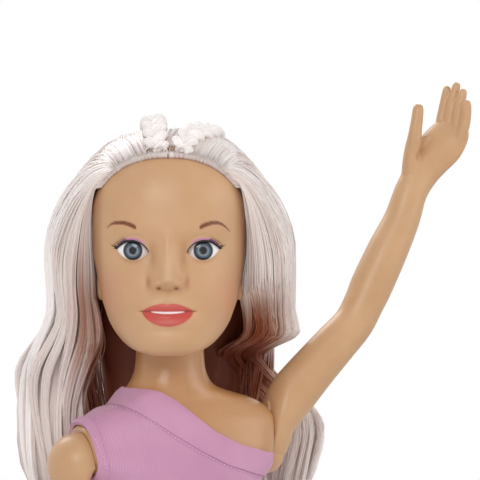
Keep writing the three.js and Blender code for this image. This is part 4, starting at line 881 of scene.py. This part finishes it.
# Rooted hair: long saran fibre, stitched into the scalp in rows and combed back from the brow.
# Saran is pale silvery pink and shiny. Real fibres are 0.1 mm thick; they are drawn thicker, to show.
saran, tree, shader = surface("rooted_saran_fibre")
# The ramp runs from dark red-brown, reached only by painted shade, up to the fibre's own pale silvery pink
SILVER_AND_SHADE = (
    (0, "#763820"), (0.18, "#9C583C"), (0.38, "#BA9481"), (0.58, "#DCCAC1"), (0.8, "#F0E6E1"),
    (1, "#FFFCFA"),
)
tone = add(tree, "ShaderNodeAttribute", {"attribute_name": "tone"}).outputs["Fac"]
silver_and_shade = add(tree, "ShaderNodeValToRGB", {"stops": SILVER_AND_SHADE}, {"Fac": tone})
wire(shader, {"Roughness": 0.36, "Specular IOR Level": 0.45}, {"Base Color": silver_and_shade.outputs["Color"]})

# Falls of hair. Each row: height, middle across and in depth, half width, half depth
LEFT_FALL = np.array([
    (776, 52.5, 15, 9.5, 36), (741, 69.5, 23, 15, 49), (705, 73, 24, 23, 52), (675, 74.5, 26, 23.5, 48),
    (650, 77, 45, 21.5, 28), (632, 78, 54, 20, 20), (618, 58, 78, 14, 16), (602, 64, 100, 20, 15),
    (565, 94, 100, 29, 16), (525, 91, 97, 24, 16), (490, 85, 93, 15, 12),
])
RIGHT_FALL = np.array([
    (777, -53.5, 15, 9.5, 36), (742, -70, 23, 15, 49), (705, -77, 26, 20, 50), (675, -79, 27, 20, 46),
    (648, -77, 27, 21, 37), (625, -81, 29, 25, 30), (600, -91, 36, 30, 25), (570, -96, 40, 31, 24),
    (530, -92, 42, 27, 22), (490, -83, 44, 16, 15),
])
BACK_FALL = np.array([
    (774, 0, 66.5, 51, 15.5), (745, 0, 78, 66, 19), (700, 0, 84, 74, 22), (650, 0, 86, 79, 22),
    (600, 0, 94, 77, 18), (550, 0, 94, 76, 18), (505, 0, 91, 64, 16), (475, 0, 88, 48, 11),
])
HEAD_MIDDLE = np.array([0, 2, 705.0])
chance = np.random.default_rng(11)
# Hair on the shoulders stays there when the head turns; the hair is cut into separate pieces above and below this
# height
SHOULDER_Z = 627


def in_fall(table, share, angle, reach):
    """A point in a fall of hair, at a height, an angle and a reach from its middle."""
    z, x, y, wide, deep = np.moveaxis(station(table, share), -1, 0)
    out = rounded(angle, 2.2) * reach
    return np.stack([x + wide * np.cos(angle) * out, y + deep * np.sin(angle) * out, z], -1)


def hairline(across):
    """A point of the stitched front edge, from the right ear at -1 over the brow to the left ear at 1."""
    z = 770.4 - 105 * np.abs(across) ** 2.2
    y = -56 + math.tan(math.radians(31)) * (772 - z)
    wide, front, back = level(z)
    deep = np.clip(np.abs((y - (front + back) / 2) / ((back - front) / 2)), 0, 1)
    return np.stack([np.sign(across) * wide * (1 - deep ** HEAD_POWER) ** (1 / HEAD_POWER), y, z], -1)


def off_scalp(points, clear):
    """Lifts points that lie too deep until they clear the head."""
    arm = points - HEAD_MIDDLE
    far = np.linalg.norm(arm, axis=-1, keepdims=True)
    way = arm / np.maximum(far, 1e-6)
    low, high = np.full(far.shape, 20.0), np.full(far.shape, 130.0)
    for _ in range(14):
        middle = (low + high) / 2
        x, y, z = np.moveaxis(HEAD_MIDDLE + way * middle, -1, 0)
        wide, front, back = level(z)
        deep = np.abs((y - (front + back) / 2) / ((back - front) / 2))
        inside = (np.abs(x / wide) ** HEAD_POWER + deep ** HEAD_POWER < 1) & (z < 789) & (z > 620)
        low = np.where(inside[..., None], middle, low)
        high = np.where(inside[..., None], high, middle)
    return np.where(far < low + clear, HEAD_MIDDLE + way * (low + clear), points)


def swept(a, b, c, d, count):
    """Smooth curves from a to d, drawn towards b and c."""
    t = np.linspace(0, 1, count)[None, :, None]
    a, b, c, d = (points[:, None] for points in (a, b, c, d))
    return a * (1 - t) ** 3 + 3 * b * t * (1 - t) ** 2 + 3 * c * t ** 2 * (1 - t) + d * t ** 3


def outward(points):
    """The way out of the head at each point."""
    arm = points - HEAD_MIDDLE
    return arm / np.linalg.norm(arm, axis=-1, keepdims=True)


def hang(table, start, angle, reach, lock, count):
    """Strands down a fall in waving locks, closer together towards their ends."""
    stop = chance.uniform(0.93, 1, len(start))
    share = start[:, None] + (stop - start)[:, None] * np.linspace(0, 1, count)[None, :]
    centre = (lock + 0.5) * 2 * math.pi / LOCKS - math.pi
    gather = np.clip((share - 0.3) / 0.7, 0, 1)
    angle = angle[:, None] + (centre - angle)[:, None] * 0.5 * gather
    phase = lock_phase[lock][:, None] + 2 * math.pi * 2.3 * share
    sway = lock_sway[lock][:, None] * np.clip((share - 0.2) / 0.4, 0, 1)
    spot = in_fall(table, share, angle, reach[:, None] * (1 - 0.12 * gather))
    spot[..., 0] += sway * np.sin(phase) * np.cos(angle) + 0.6 * sway * np.cos(phase * 0.8) * np.sin(angle)
    spot[..., 1] += sway * np.sin(phase) * np.sin(angle)
    return spot


LOCKS = 20
lock_phase = chance.uniform(-0.9, 0.9, LOCKS)
lock_sway = chance.uniform(3, 6.5, LOCKS)
lock_tone = chance.normal(0, 0.08, LOCKS)


def shade(points):
    """How light the hair is painted: pale outside, with painted shade in dark red-brown inside and behind the
    neck.
    """
    x, y, z = np.moveaxis(points, -1, 0)
    low = np.clip((712 - z) / 50, 0, 1)
    behind = np.clip((95 - y) / 8, 0, 1) * np.clip((y - 30) / 20, 0, 1)
    behind = behind * np.clip((78 - np.abs(x)) / 12, 0, 1)
    middle = np.interp(-z, -LEFT_FALL[:, 0], LEFT_FALL[:, 2])
    beside = np.where(x > 0, 0.9 * np.clip((98 - x) / 26, 0, 1) * np.clip((682 - z) / 42, 0, 1)
                      * np.clip((z - 560) / 20, 0, 1) * np.clip((middle + 10 - y) / 9, 0, 1),
                      0.7 * np.clip((-x - 82) / -22, 0, 1) * np.clip((52 - y) / 10, 0, 1))
    return 0.8 - 0.78 * low * np.maximum(behind, beside)


def strands(name, paths, tone):
    """Fibres of a fall, cut at the shoulder so that their ends can stay behind when the head turns."""
    width = np.full(paths.shape[1], 0.38)
    width[0] = 0.02
    width[-4:] = (0.32, 0.25, 0.16, 0.02)
    runs = {"fall": [], "ends": []}
    for row in np.concatenate([paths, np.broadcast_to(width[None, :, None], paths.shape[:2] + (1,)),
                               np.clip(shade(paths) + tone, 0, 1)[..., None]], 2):
        below = np.flatnonzero(row[:, 2] < SHOULDER_Z)
        first = below[0] if len(below) else len(row)
        cut = []
        if 0 < first < len(row):
            part = (row[first - 1, 2] - SHOULDER_Z) / (row[first - 1, 2] - row[first, 2])
            cut = [row[first - 1] + part * (row[first] - row[first - 1])]
        for part, points in (("fall", [*row[:first], *cut]), ("ends", [*cut, *row[first:]])):
            if len(points) > 1:
                runs[part].append(np.array(points))
    for part, rows in runs.items():
        made = fibres(f"{name}_{part}", [r[:, :3] for r in rows], [r[:, 3] for r in rows],
                      [r[:, 4] for r in rows],
                      head, saran)
        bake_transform(made)


def bulk(name, table, nodes):
    """The inner mass of a fall, that the strands lie on."""
    form = wrapped(120, 60, lambda share, angle, reach: in_fall(
        table, share, angle, reach * np.clip(share / 0.12, 0.35, 1)
        * (0.82 - 0.2 * np.clip((share - 0.3) / 0.7, 0, 1))))
    # The mass takes the hair's painted shade by place, and is painted a little darker than the strands as painted
    # shade under them, with random stripes round it
    layer = form.verts.layers.float.new("tone")
    stripe = chance.normal(-0.04, 0.03, 181)
    lifted = off_scalp(np.array([v.co for v in form.verts]), 0.6)
    for vert, spot, tone in zip(form.verts, lifted, shade(lifted)):
        middle = station(table, np.interp(-vert.co.z, -table[:, 0], np.linspace(0, 1, len(table))))
        turn = math.atan2(vert.co.y - middle[2], vert.co.x - middle[1])
        vert[layer] = tone + stripe[int((turn + math.pi) / (2 * math.pi) * 180)]
        vert.co = spot
    for part, away in (("fall", -1), ("ends", 1)):
        half = form.copy()
        for edge in trimmed(half, (0, 0, SHOULDER_Z), (0, 0, away), closed=True):
            edge.smooth = False
        made = settle(half, f"{name}_{part}", head, saran, None, nodes if part == "fall" else ())
        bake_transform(made)
    form.free()


def around_fall(degrees):
    """Puts strands at a place round a fall, and in the lock that is there."""
    angle = np.mod(np.radians(degrees) + math.pi, 2 * math.pi) - math.pi
    return angle, ((angle + math.pi) / (2 * math.pi) * LOCKS).astype(int) % LOCKS


for name, side, table in (("left", 1, LEFT_FALL), ("right", -1, RIGHT_FALL)):
    bulk(f"{name}_hair_mass", table, [f"hair_{name}_fall"])
    number = 700
    # Hair from the top and the side of the brow goes back over the head and down its outside
    place = chance.uniform(0.04, 0.52, number)
    degrees = 140 - 360 * place + chance.normal(0, 14, number)
    angle, lock = around_fall(degrees if side > 0 else 180 - degrees)
    reach = 0.84 + 0.22 * np.sqrt(chance.random(number))
    begin = (0.54 + 3.06 * place) / (len(table) - 1)
    fall = hang(table, begin, angle, reach, lock, 17)
    root = hairline(side * place)
    lift = outward(root)
    rise = np.stack([side * (0.2 + 0.3 * place), np.full(number, 0.8), 0.75 - 0.8 * place], -1)
    pull = (50 - 30 * place)[:, None]
    top = in_fall(table, np.maximum(begin - 0.1, 0), angle, reach)
    join = fall[:, 0]
    sweep = swept(root + lift, root + rise * pull + lift * 8, join + 1.6 * (top - join), join, 11)
    paths = off_scalp(np.concatenate([sweep[:, :-1], fall], 1), 2.2 + 3.5
                      * chance.random(number)[:, None, None])
    # Strands that lie deeper in the fall are painted darker, as painted shade
    tone = chance.normal(0, 0.07, (number, 1)) + lock_tone[lock][:, None] + (reach - 0.99)[:, None]
    strands(f"{name}_outer_strands", paths, tone)
    # Hair from the corners of the brow falls in front of the ears
    share = chance.random(number)
    degrees = -15 - 150 * share + chance.normal(0, 10, number)
    angle, lock = around_fall(degrees if side > 0 else 180 - degrees)
    reach = 0.84 + 0.22 * np.sqrt(chance.random(number))
    begin = (2.3 + 1.3 * share) / (len(table) - 1)
    fall = hang(table, begin, angle, reach, lock, 16)
    root = hairline(side * (0.33 + 0.17 * share))
    mix = (np.clip(1 - share / 0.5, 0, 1) * chance.random(number))[:, None]
    join = fall[:, 0]
    lift = outward(root)
    brow = root + np.array([side * 14, 3, 4.0]) + mix * (side * 4, 20, 17) + 5 * lift
    temple = join + np.array([0, -12.0, 34]) + mix * (side * 4, 17, 13)
    sweep = swept(root + lift, brow, temple, join, 12)
    paths = off_scalp(np.concatenate([sweep[:, :-1], fall], 1), 0.3 + 3.4
                      * chance.random(number)[:, None, None] ** 2)
    # Strands that lie deeper in the fall are painted darker, as painted shade
    tone = chance.normal(0, 0.07, (number, 1)) + lock_tone[lock][:, None] + (reach - 0.99)[:, None]
    strands(f"{name}_front_strands", paths, tone)

bulk("back_hair_mass", BACK_FALL, ["hair_back_fall"])
number = 700
angle, lock = around_fall(chance.uniform(-40, 220, number))
reach = 0.84 + 0.22 * np.sqrt(chance.random(number))
fall = hang(BACK_FALL, np.full(number, 0.1), angle, reach, lock, 16)
root = HEAD_MIDDLE + 40 * outward(HEAD_MIDDLE + np.stack(
    [fall[:, 0, 0] * 0.7, chance.uniform(-10, 40, number), np.full(number, 70.0)], -1))
root = off_scalp(root, 2)
join = fall[:, 0]
sweep = swept(root, root + np.array([0, 22.0, 6]), join + np.array([0, -4.0, 24]), join, 10)
paths = off_scalp(np.concatenate([sweep[:, :-1], fall], 1), 2.5 + 4 * chance.random(number)[:, None, None])
strands("back_strands", paths, chance.normal(0, 0.05, (number, 1)) + lock_tone[lock][:, None])

# Crown: the fibres next to the skin, from the stitched front row over the top of the head.
# Each stitch gathers a small tuft, which shows as a row of short ribs along the brow.
NAPE_Z = 650
BED = 3
TEMPLE_Z, TEMPLE_Y = 749, 22


def scalp_skin(share, angle, reach):
    """The head's surface with a bed of hair on it."""
    z, wide, front, back = np.moveaxis(station(HEAD, share), -1, 0)
    out = rounded(angle, HEAD_POWER) * reach
    y = (front + back) / 2 + ((back - front) / 2 + BED) * np.sin(angle) * out
    return np.stack([(wide + BED) * np.cos(angle) * out, y, z + BED * np.clip((z - 760) / 22, 0, 1)], -1)


scalp_form = wrapped(140, 80, scalp_skin)
# The front edge leans back by this much
lean = math.radians(31)
trimmed(scalp_form, (0, -50, 772), (0, -math.cos(lean), -math.sin(lean)))
trimmed(scalp_form, (0, 0, NAPE_Z), (0, 0, -1))
bmesh.ops.bisect_plane(scalp_form, geom=scalp_form.verts[:] + scalp_form.edges[:] + scalp_form.faces[:],
                       plane_co=(0, 0, TEMPLE_Z), plane_no=(0, 0, 1))
trimmed(scalp_form, (0, TEMPLE_Y, 0), (0, -1, 0), lambda c: c.z < TEMPLE_Z)
bmesh.ops.recalc_face_normals(scalp_form, faces=scalp_form.faces)
bmesh.ops.solidify(scalp_form, geom=scalp_form.faces[:], thickness=2.5)
layer = scalp_form.verts.layers.float.new("tone")
# The bed is painted darker just behind its front edge, as painted shade, with faint random ribs across it
for vert in scalp_form.verts:
    behind = (vert.co.y + 50) * math.cos(lean) + (vert.co.z - 772) * math.sin(lean)
    vert[layer] = (0.66 + 0.06 * math.sin(2.1 * vert.co.x) * math.sin(0.9 * vert.co.x + 1)
                   - 0.3 * math.exp(-(behind / 6) ** 2))
settle(scalp_form, "scalp_hair_bed", head, saran, "head", ["hair_crown"])

number = 1250
place = chance.uniform(0.015, 0.5, number) * np.where(chance.random(number) < 0.5, -1, 1)
back = np.array([0, math.cos(lean), math.sin(lean)])
root = hairline(place) + 3 * back
lift = outward(root)
goal = np.stack([np.sign(place) * (8 + 66 * np.abs(place) ** 0.9), 62 - 40 * np.abs(place)
                 + chance.normal(0, 5, number),
                 778 - 70 * np.abs(place) ** 1.1], -1)
height = 2.4 + 2.6 * chance.random(number)[:, None]
rise = np.stack([0.35 * place, np.full(number, 0.75), 0.75 - 0.5 * np.abs(place)], -1)
over = root + 30 * rise + (4 + height) * lift
down = goal + (0, -34, 22) + height * outward(goal)
sweep = swept(root + 0.8 * lift, over, down, goal, 15)
clear = (1 + height[:, None] * np.sin(math.pi * np.linspace(0, 1, 15)[None, :, None]) ** 0.5)
paths = off_scalp(sweep, clear)
along = np.linspace(0, 1, 15)
# The strands are painted darker near their roots, as painted shade at the hairline
tone = np.clip(0.9 + chance.normal(0, 0.06, (number, 1)) - 0.3 * bell(along - 0.08, 0.1), 0, 1)
width = np.full(15, 0.4)
width[0], width[-1] = 0.02, 0.02
fibres("crown_strands", paths, [width] * number, list(tone), head, saran, "head")

ribs = []
fine = np.linspace(-0.485, 0.485, 2000)
length = np.r_[0, np.cumsum(np.linalg.norm(np.diff(hairline(fine), axis=0), axis=1))]
for a in np.interp(np.linspace(0, length[-1], 116), length, fine):
    root = hairline(np.array([a]))[0]
    normal = outward(root)
    ribs.append(np.array([root - 0.6 * normal, root + 1.6 * normal, root + 1.6 * back + 3.4 * normal,
                          root + 4 * back + 4 * normal, root + 7 * back + 3 * normal]))
# Each tuft is painted dark at its root as painted shade, and lightest on its crest as a painted highlight
tone = [np.clip(np.array([0.3, 0.6, 0.85, 0.8, 0.62]) + chance.normal(0, 0.06), 0, 1) for _ in ribs]
fibres("brow_stitch_tufts", ribs, [np.array([0.3, 0.46, 0.52, 0.5, 0.15])] * len(ribs), tone, head, saran,
       "head", facets=1)

# Braids: two three-strand braids of the same saran, laid back from the brow over the crown.
# Each strand is a bundle of fibres, and the far ends are sewn to the scalp.
# Each row: across, in depth and up
BRAIDS = {
    "right_braid": np.array([(-8, -54, 775), (-10.5, -40, 790), (-12, -14, 798), (-14, 14, 799),
                             (-15, 36, 792), (-16, 52, 780)], float),
    "left_braid": np.array([(8, -54, 775), (16, -42, 787), (28, -20, 792), (33, 12, 791), (30, 36, 784),
                            (26, 50, 775)], float),
}
for name, route in BRAIDS.items():
    spine = station(route, np.linspace(0, 1, 60))
    along = np.gradient(spine, axis=0)
    along /= np.linalg.norm(along, axis=1, keepdims=True)
    up = outward(spine)
    side = np.cross(along, up)
    side /= np.linalg.norm(side, axis=1, keepdims=True)
    paths, widths, tones = [], [], []
    for third in range(3):
        turn = np.linspace(0, 2 * math.pi * 3.6, 60) + third * 2 * math.pi / 3
        core = spine + side * (5.8 * np.sin(turn))[:, None] + up * (2.6 * np.sin(2 * turn))[:, None]
        for round_at in np.linspace(0, 2 * math.pi, 36, endpoint=False):
            ring = side * math.cos(round_at) + up * math.sin(round_at)
            paths.append(core + 3.9 * ring)
            width = np.full(60, 0.5)
            width[0], width[-1] = 0.02, 0.02
            widths.append(width)
            # Fibres are painted lighter where their strand rides up over the braid and darker where it dips under,
            # as painted light and shade
            tones.append(np.clip(0.92 + chance.normal(0, 0.06) + 0.06 * np.sin(2 * turn), 0, 1))
    fibres(name + "_strands", paths, widths, tones, head, saran, "head", [name])

# Dress: a one-shoulder jersey top with a folded band along its slanting neckline, and a gathered skirt.
# Jersey is a fine knit, matt and soft, with its wales running down the body.
jersey, tree, shader = surface("orchid_jersey_knit")
sewn = add(tree, "ShaderNodeUVMap", {"uv_map": "cloth"}).outputs["UV"]
spot = add(tree, "ShaderNodeTexCoord").outputs["Object"]
# Real wales are 0.6 mm apart; they are drawn 1.6 mm apart, so that they show
wales = add(tree, "ShaderNodeTexWave", {"Scale": 196, "Distortion": 0.6, "Detail": 1}, {"Vector": sewn})
fuzz = add(tree, "ShaderNodeTexNoise", {"Scale": 1400, "Detail": 2}, {"Vector": spot})
shadow = add(tree, "ShaderNodeTexNoise", {"Scale": 24, "Detail": 2}, {"Vector": spot})
orchid = add(tree, "ShaderNodeValToRGB", {"stops": ((0.3, "#C68FAF"), (0.7, "#CF9AB8"))},
             {"Fac": shadow.outputs["Fac"]})
dim = add(tree, "ShaderNodeMapRange", {"To Min": 0.94, "To Max": 1.03}, {"Value": wales.outputs["Fac"]})
knit = add(tree, "ShaderNodeVectorMath", {"operation": "SCALE"},
           {0: orchid.outputs["Color"], "Scale": dim.outputs["Result"]})
rough = add(tree, "ShaderNodeMath", {"operation": "ADD"}, {0: wales.outputs["Fac"], 1: fuzz.outputs["Fac"]})
pile = add(tree, "ShaderNodeBump", {"Strength": 0.14, "Distance": 0.0004}, {"Height": rough.outputs[0]})
wire(shader, {"Roughness": 0.85, "Sheen Weight": 0.25},
     {"Base Color": knit.outputs["Vector"], "Normal": pile.outputs["Normal"]})
# Sewing thread: paler than the cloth, twisted, with a slight shine.
thread, tree, shader = surface("polyester_sewing_thread")
# Along each stitch the tone runs from painted shade at its thin ends to a painted highlight in its middle
tone = add(tree, "ShaderNodeAttribute", {"attribute_name": "tone"}).outputs["Fac"]
thread_sheen_and_shade = add(tree, "ShaderNodeValToRGB", {"stops": ((0, "#C386B4"), (1, "#E6C2DD"))}, {"Fac": tone})
wire(shader, {"Roughness": 0.5}, {"Base Color": thread_sheen_and_shade.outputs["Color"]})

WAIST_Z = 458
# The neckline across the body and up, and the lower edge of its band, about 15 mm below it
NECKLINE = np.array([(-120, 660), (-46, 640), (-42, 604), (-35, 594.4), (-22, 590.5), (-8.5, 582.5),
                     (5, 571.5), (18.5, 560.5), (39.8, 549.8), (61.5, 543.8), (88, 538.5), (120, 535)])
BAND_EDGE = np.array([(-120, 660), (-56, 640), (-53, 598), (-49.5, 583.5), (-44, 578.5), (-30.5, 569.5),
                      (-13.5, 558), (7.3, 545.4), (27, 535), (50, 527.6), (66, 523.6), (120, 519)])
COLUMNS = 400
even = np.linspace(0, 1, 800)
waist_share = float(np.interp(-WAIST_Z, -station(TORSO, even)[:, 0], even))


def edge_share(line, turn):
    """Where the body's columns, counted from the waist up, first meet a line drawn across it."""
    share = np.linspace(waist_share, 0.02, 700)
    found = []
    for angle in turn:
        at = torso_skin(1)(share, np.full(700, angle), np.ones(700))
        over = at[:, 2] - np.interp(at[:, 0], line[:, 0], line[:, 1])
        first = int(np.argmax(over > 0))
        part = over[first - 1] / (over[first - 1] - over[first])
        found.append(share[first - 1] + part * (share[first] - share[first - 1]))
    return np.array(found)


def tube_of_cloth(low, high, count, grow):
    """Cloth round the body between two edges."""
    bm = bmesh.new()
    bmesh.ops.create_grid(bm, x_segments=COLUMNS, y_segments=count, size=1)
    at = np.array([v.co for v in bm.verts])
    column = np.rint((at[:, 0] + 1) / 2 * COLUMNS).astype(int) % COLUMNS
    up = (at[:, 1] + 1) / 2
    place = torso_skin(grow(up))(low[column] + (high - low)[column] * up, columns[column], np.ones(len(at)))
    for vert, spot in zip(bm.verts, place):
        vert.co = spot
    bmesh.ops.remove_doubles(bm, verts=bm.verts, dist=0.01)
    return bm


columns = np.linspace(-math.pi, math.pi, COLUMNS + 1)[:-1]
waist_edge = np.full(COLUMNS, waist_share)
band_edge = edge_share(BAND_EDGE, columns)
neck_edge = edge_share(NECKLINE, columns)


def shoulder_face(side):
    """A point on a shoulder's flat face, and the way that the face looks."""
    return Vector((side * PIVOT.x, PIVOT.y, PIVOT.z)), Vector((side * PIVOT_AXIS.x, 0, PIVOT_AXIS.z))


def past_face(spot, side):
    """How far a point lies outside a shoulder's face."""
    face, away = shoulder_face(side)
    return (Vector(spot) - face).dot(away)


def armholes(bm, left, right):
    """Cuts cloth off where the arms turn, at a distance from each shoulder's face."""
    for side, set_back in ((1, left), (-1, right)):
        face, away = shoulder_face(side)
        trimmed(bm, face - set_back * away, away, lambda c: c.x * side > 50 and c.z > 500)


def garment(bm, name, thickness, nodes):
    """Gives cut cloth its thickness and its knit, and puts it on the doll."""
    bmesh.ops.recalc_face_normals(bm, faces=bm.faces)
    bmesh.ops.solidify(bm, geom=bm.faces[:], thickness=thickness)
    layer = bm.loops.layers.uv.new("cloth")
    for face in bm.faces:
        middle = face.calc_center_median()
        base = math.atan2(middle.y, middle.x)
        for loop in face.loops:
            turn = math.atan2(loop.vert.co.y, loop.vert.co.x)
            turn += 2 * math.pi * round((base - turn) / (2 * math.pi))
            loop[layer].uv = (turn * 0.06, loop.vert.co.z * 0.001)
    return settle(bm, name, doll, jersey, "torso", nodes)


bodice_form = tube_of_cloth(waist_edge, band_edge, 64, lambda up: 1.9)
armholes(bodice_form, 3, 0.6)
bodice = garment(bodice_form, "bodice_jersey", 1.5, ["bodice"])

band_form = tube_of_cloth(band_edge, neck_edge, 24, lambda up: 1.7 + 2.3
                          * np.sin(math.pi * (0.08 + 0.8 * up)) ** 0.6)
armholes(band_form, 3, 0.6)
band = garment(band_form, "neckline_band_jersey", 1.6, ["neckline_band"])

hem_form = tube_of_cloth(waist_edge, band_edge, 64, lambda up: 2.9)
armholes(hem_form, 2.6, 0.3)
face, away = shoulder_face(-1)
trimmed(hem_form, face - 6.6 * away, -away)
trimmed(hem_form, (0, 0, 500), (0, 0, -1))
armhole_hem = garment(hem_form, "armhole_hem_jersey", 1.6, [])


def on_torso(x, z, grow, back):
    """A point on the body's front or back, a little off the skin."""
    table = station(TORSO, np.linspace(0, 1, 400))[::-1]
    wide, front, deep, power = (np.interp(z, table[:, 0], table[:, k]) for k in (1, 2, 3, 4))
    share = np.maximum(1 - (np.abs(x) / (wide + grow)) ** power, 0) ** (1 / power)
    y = (deep - front) / 2 + ((front + deep) / 2 + grow) * share * (1 if back else -1)
    return np.stack([x, y, z - slope(x, z)], -1)


def stitches(route, length, skip):
    """Cuts a sewn line into single stitches, with a gap after each."""
    step = np.r_[0, np.cumsum(np.linalg.norm(np.diff(route, axis=0), axis=1))]
    made = []
    for start in np.arange(0, step[-1] - length, length + skip):
        at = np.linspace(start, start + length, 5)
        made.append(np.stack([np.interp(at, step, route[:, k]) for k in range(3)], -1))
    return made


sewn_lines = []
seam = torso_skin(2.6)(band_edge + 0.0045, columns, np.ones(COLUMNS))
inside = np.array([all(past_face(spot, side) < -9 for side in (1, -1)) for spot in seam])
for run in np.split(np.arange(COLUMNS), np.flatnonzero(np.diff(inside)) + 1):
    if inside[run[0]]:
        sewn_lines += stitches(seam[run], 2.6, 0.6)
for back in (False, True):
    for set_back in (5, 6.9):
        z = np.linspace(512, 582, 160)
        x = -(PIVOT.x - set_back / math.cos(LEAN) + (z - PIVOT.z) * math.tan(LEAN))
        sewn_lines += stitches(on_torso(x, z, 3.1 if set_back < 6 else 2.2, back), 2.4, 0.6)
# The seam over the right shoulder, a little before its ridge
shoulder = -math.pi + 0.4
run = np.linspace(edge_share(BAND_EDGE, [shoulder])[0], 7 / 17, 60)
seam = torso_skin(2.2)(run, np.full(60, shoulder), np.ones(60))
seam = seam[[past_face(spot, -1) < -6 for spot in seam]]
sewn_lines += stitches(seam, 2.4, 0.6)
# Each stitch tapers at its ends, and is painted lighter in its middle as a painted highlight and darker at its
# ends as painted shade
bead = np.array([0.05, 0.34, 0.4, 0.34, 0.05])
sheen = np.array([0, 0.6, 1, 0.6, 0])
number = len(sewn_lines)
fibres("dress_topstitching", sewn_lines, [bead] * number, [sheen] * number, doll, thread, "torso")

# Skirt: a tube of the same jersey that hangs in soft folds, with a sewn hem.
# It is gathered and sewn to the top at the waist seam.
# Each row: height, half width, half depth, middle in depth, share of the folds
SKIRT = np.array([
    (457.7, 50.6, 40.4, -0.5, 0), (440, 57.5, 44, 0, 0.12), (420, 66, 50, 1, 0.25),
    (398, 71, 58, 1, 0.4), (363, 79, 69, 1, 0.65), (323, 88, 79, 1, 0.85), (282, 96, 87, 1, 1),
])
FOLDS = 10


def on_skirt(share, angle, grow):
    """A point of the skirt, or one that lies a little off it."""
    z, wide, deep, y, fold = np.moveaxis(station(SKIRT, share), -1, 0)
    out = rounded(angle, 2.1)
    wave = 5 * np.cos(FOLDS * angle) + 0.9 * np.cos(23 * angle + 1.5) + 0.5 * np.cos(37 * angle)
    gather = 0.5 * np.cos(96 * angle) * bell(share, 0.06)
    swell = 1 + fold * wave / wide + gather / wide
    x = (wide + grow) * np.cos(angle) * out * swell
    return np.stack([x, (y + (deep + grow) * np.sin(angle) * out) * swell, z], -1)


skirt_form = bmesh.new()
bmesh.ops.create_grid(skirt_form, x_segments=384, y_segments=60, size=1)
at = np.array([v.co for v in skirt_form.verts])
for vert, spot in zip(skirt_form.verts, on_skirt((1 - at[:, 1]) / 2, math.pi * at[:, 0], -0.2)):
    vert.co = spot
bmesh.ops.remove_doubles(skirt_form, verts=skirt_form.verts, dist=0.01)
skirt = garment(skirt_form, "skirt_jersey", 1.4, ["skirt"])
angle = np.linspace(-math.pi, math.pi, 900)
sewn_lines = []
for share in (0.955, 0.012):
    sewn_lines += stitches(on_skirt(np.full(900, share), angle, 0.1), 2.6, 0.7)
number = len(sewn_lines)
fibres("skirt_stitching", sewn_lines, [bead] * number, [sheen] * number, doll, thread, "torso")

# Back fastener: a strip of woven hook tape sewn down the back of the top.
# Woven tape: pale, dull, with a fine cross weave.
woven_tape, tree, shader = surface("woven_hook_tape")
spot = add(tree, "ShaderNodeTexCoord").outputs["Object"]
# Hooks about 1 mm apart
weave = add(tree, "ShaderNodeTexVoronoi", {"Scale": 1000}, {"Vector": spot}).outputs["Distance"]
strip = add(tree, "ShaderNodeValToRGB", {"stops": ((0, "#E9CFE2"), (1, "#CFA9C6"))}, {"Fac": weave})
hooks = add(tree, "ShaderNodeBump", {"Strength": 0.5, "Distance": 0.0005}, {"Height": weave})
wire(shader, {"Roughness": 0.8}, {"Base Color": strip.outputs["Color"], "Normal": hooks.outputs["Normal"]})
tape_form = bmesh.new()
bmesh.ops.create_grid(tape_form, x_segments=12, y_segments=60, size=1)
for vert in tape_form.verts:
    vert.co = on_torso(np.array([6 * vert.co.x]), np.array([496 + 35 * vert.co.y]), 3.6, True)[0]
bmesh.ops.recalc_face_normals(tape_form, faces=tape_form.faces)
bmesh.ops.solidify(tape_form, geom=tape_form.faces[:], thickness=1.1)
tape = settle(tape_form, "back_hook_tape", doll, woven_tape, "torso", ["back_fastener"])
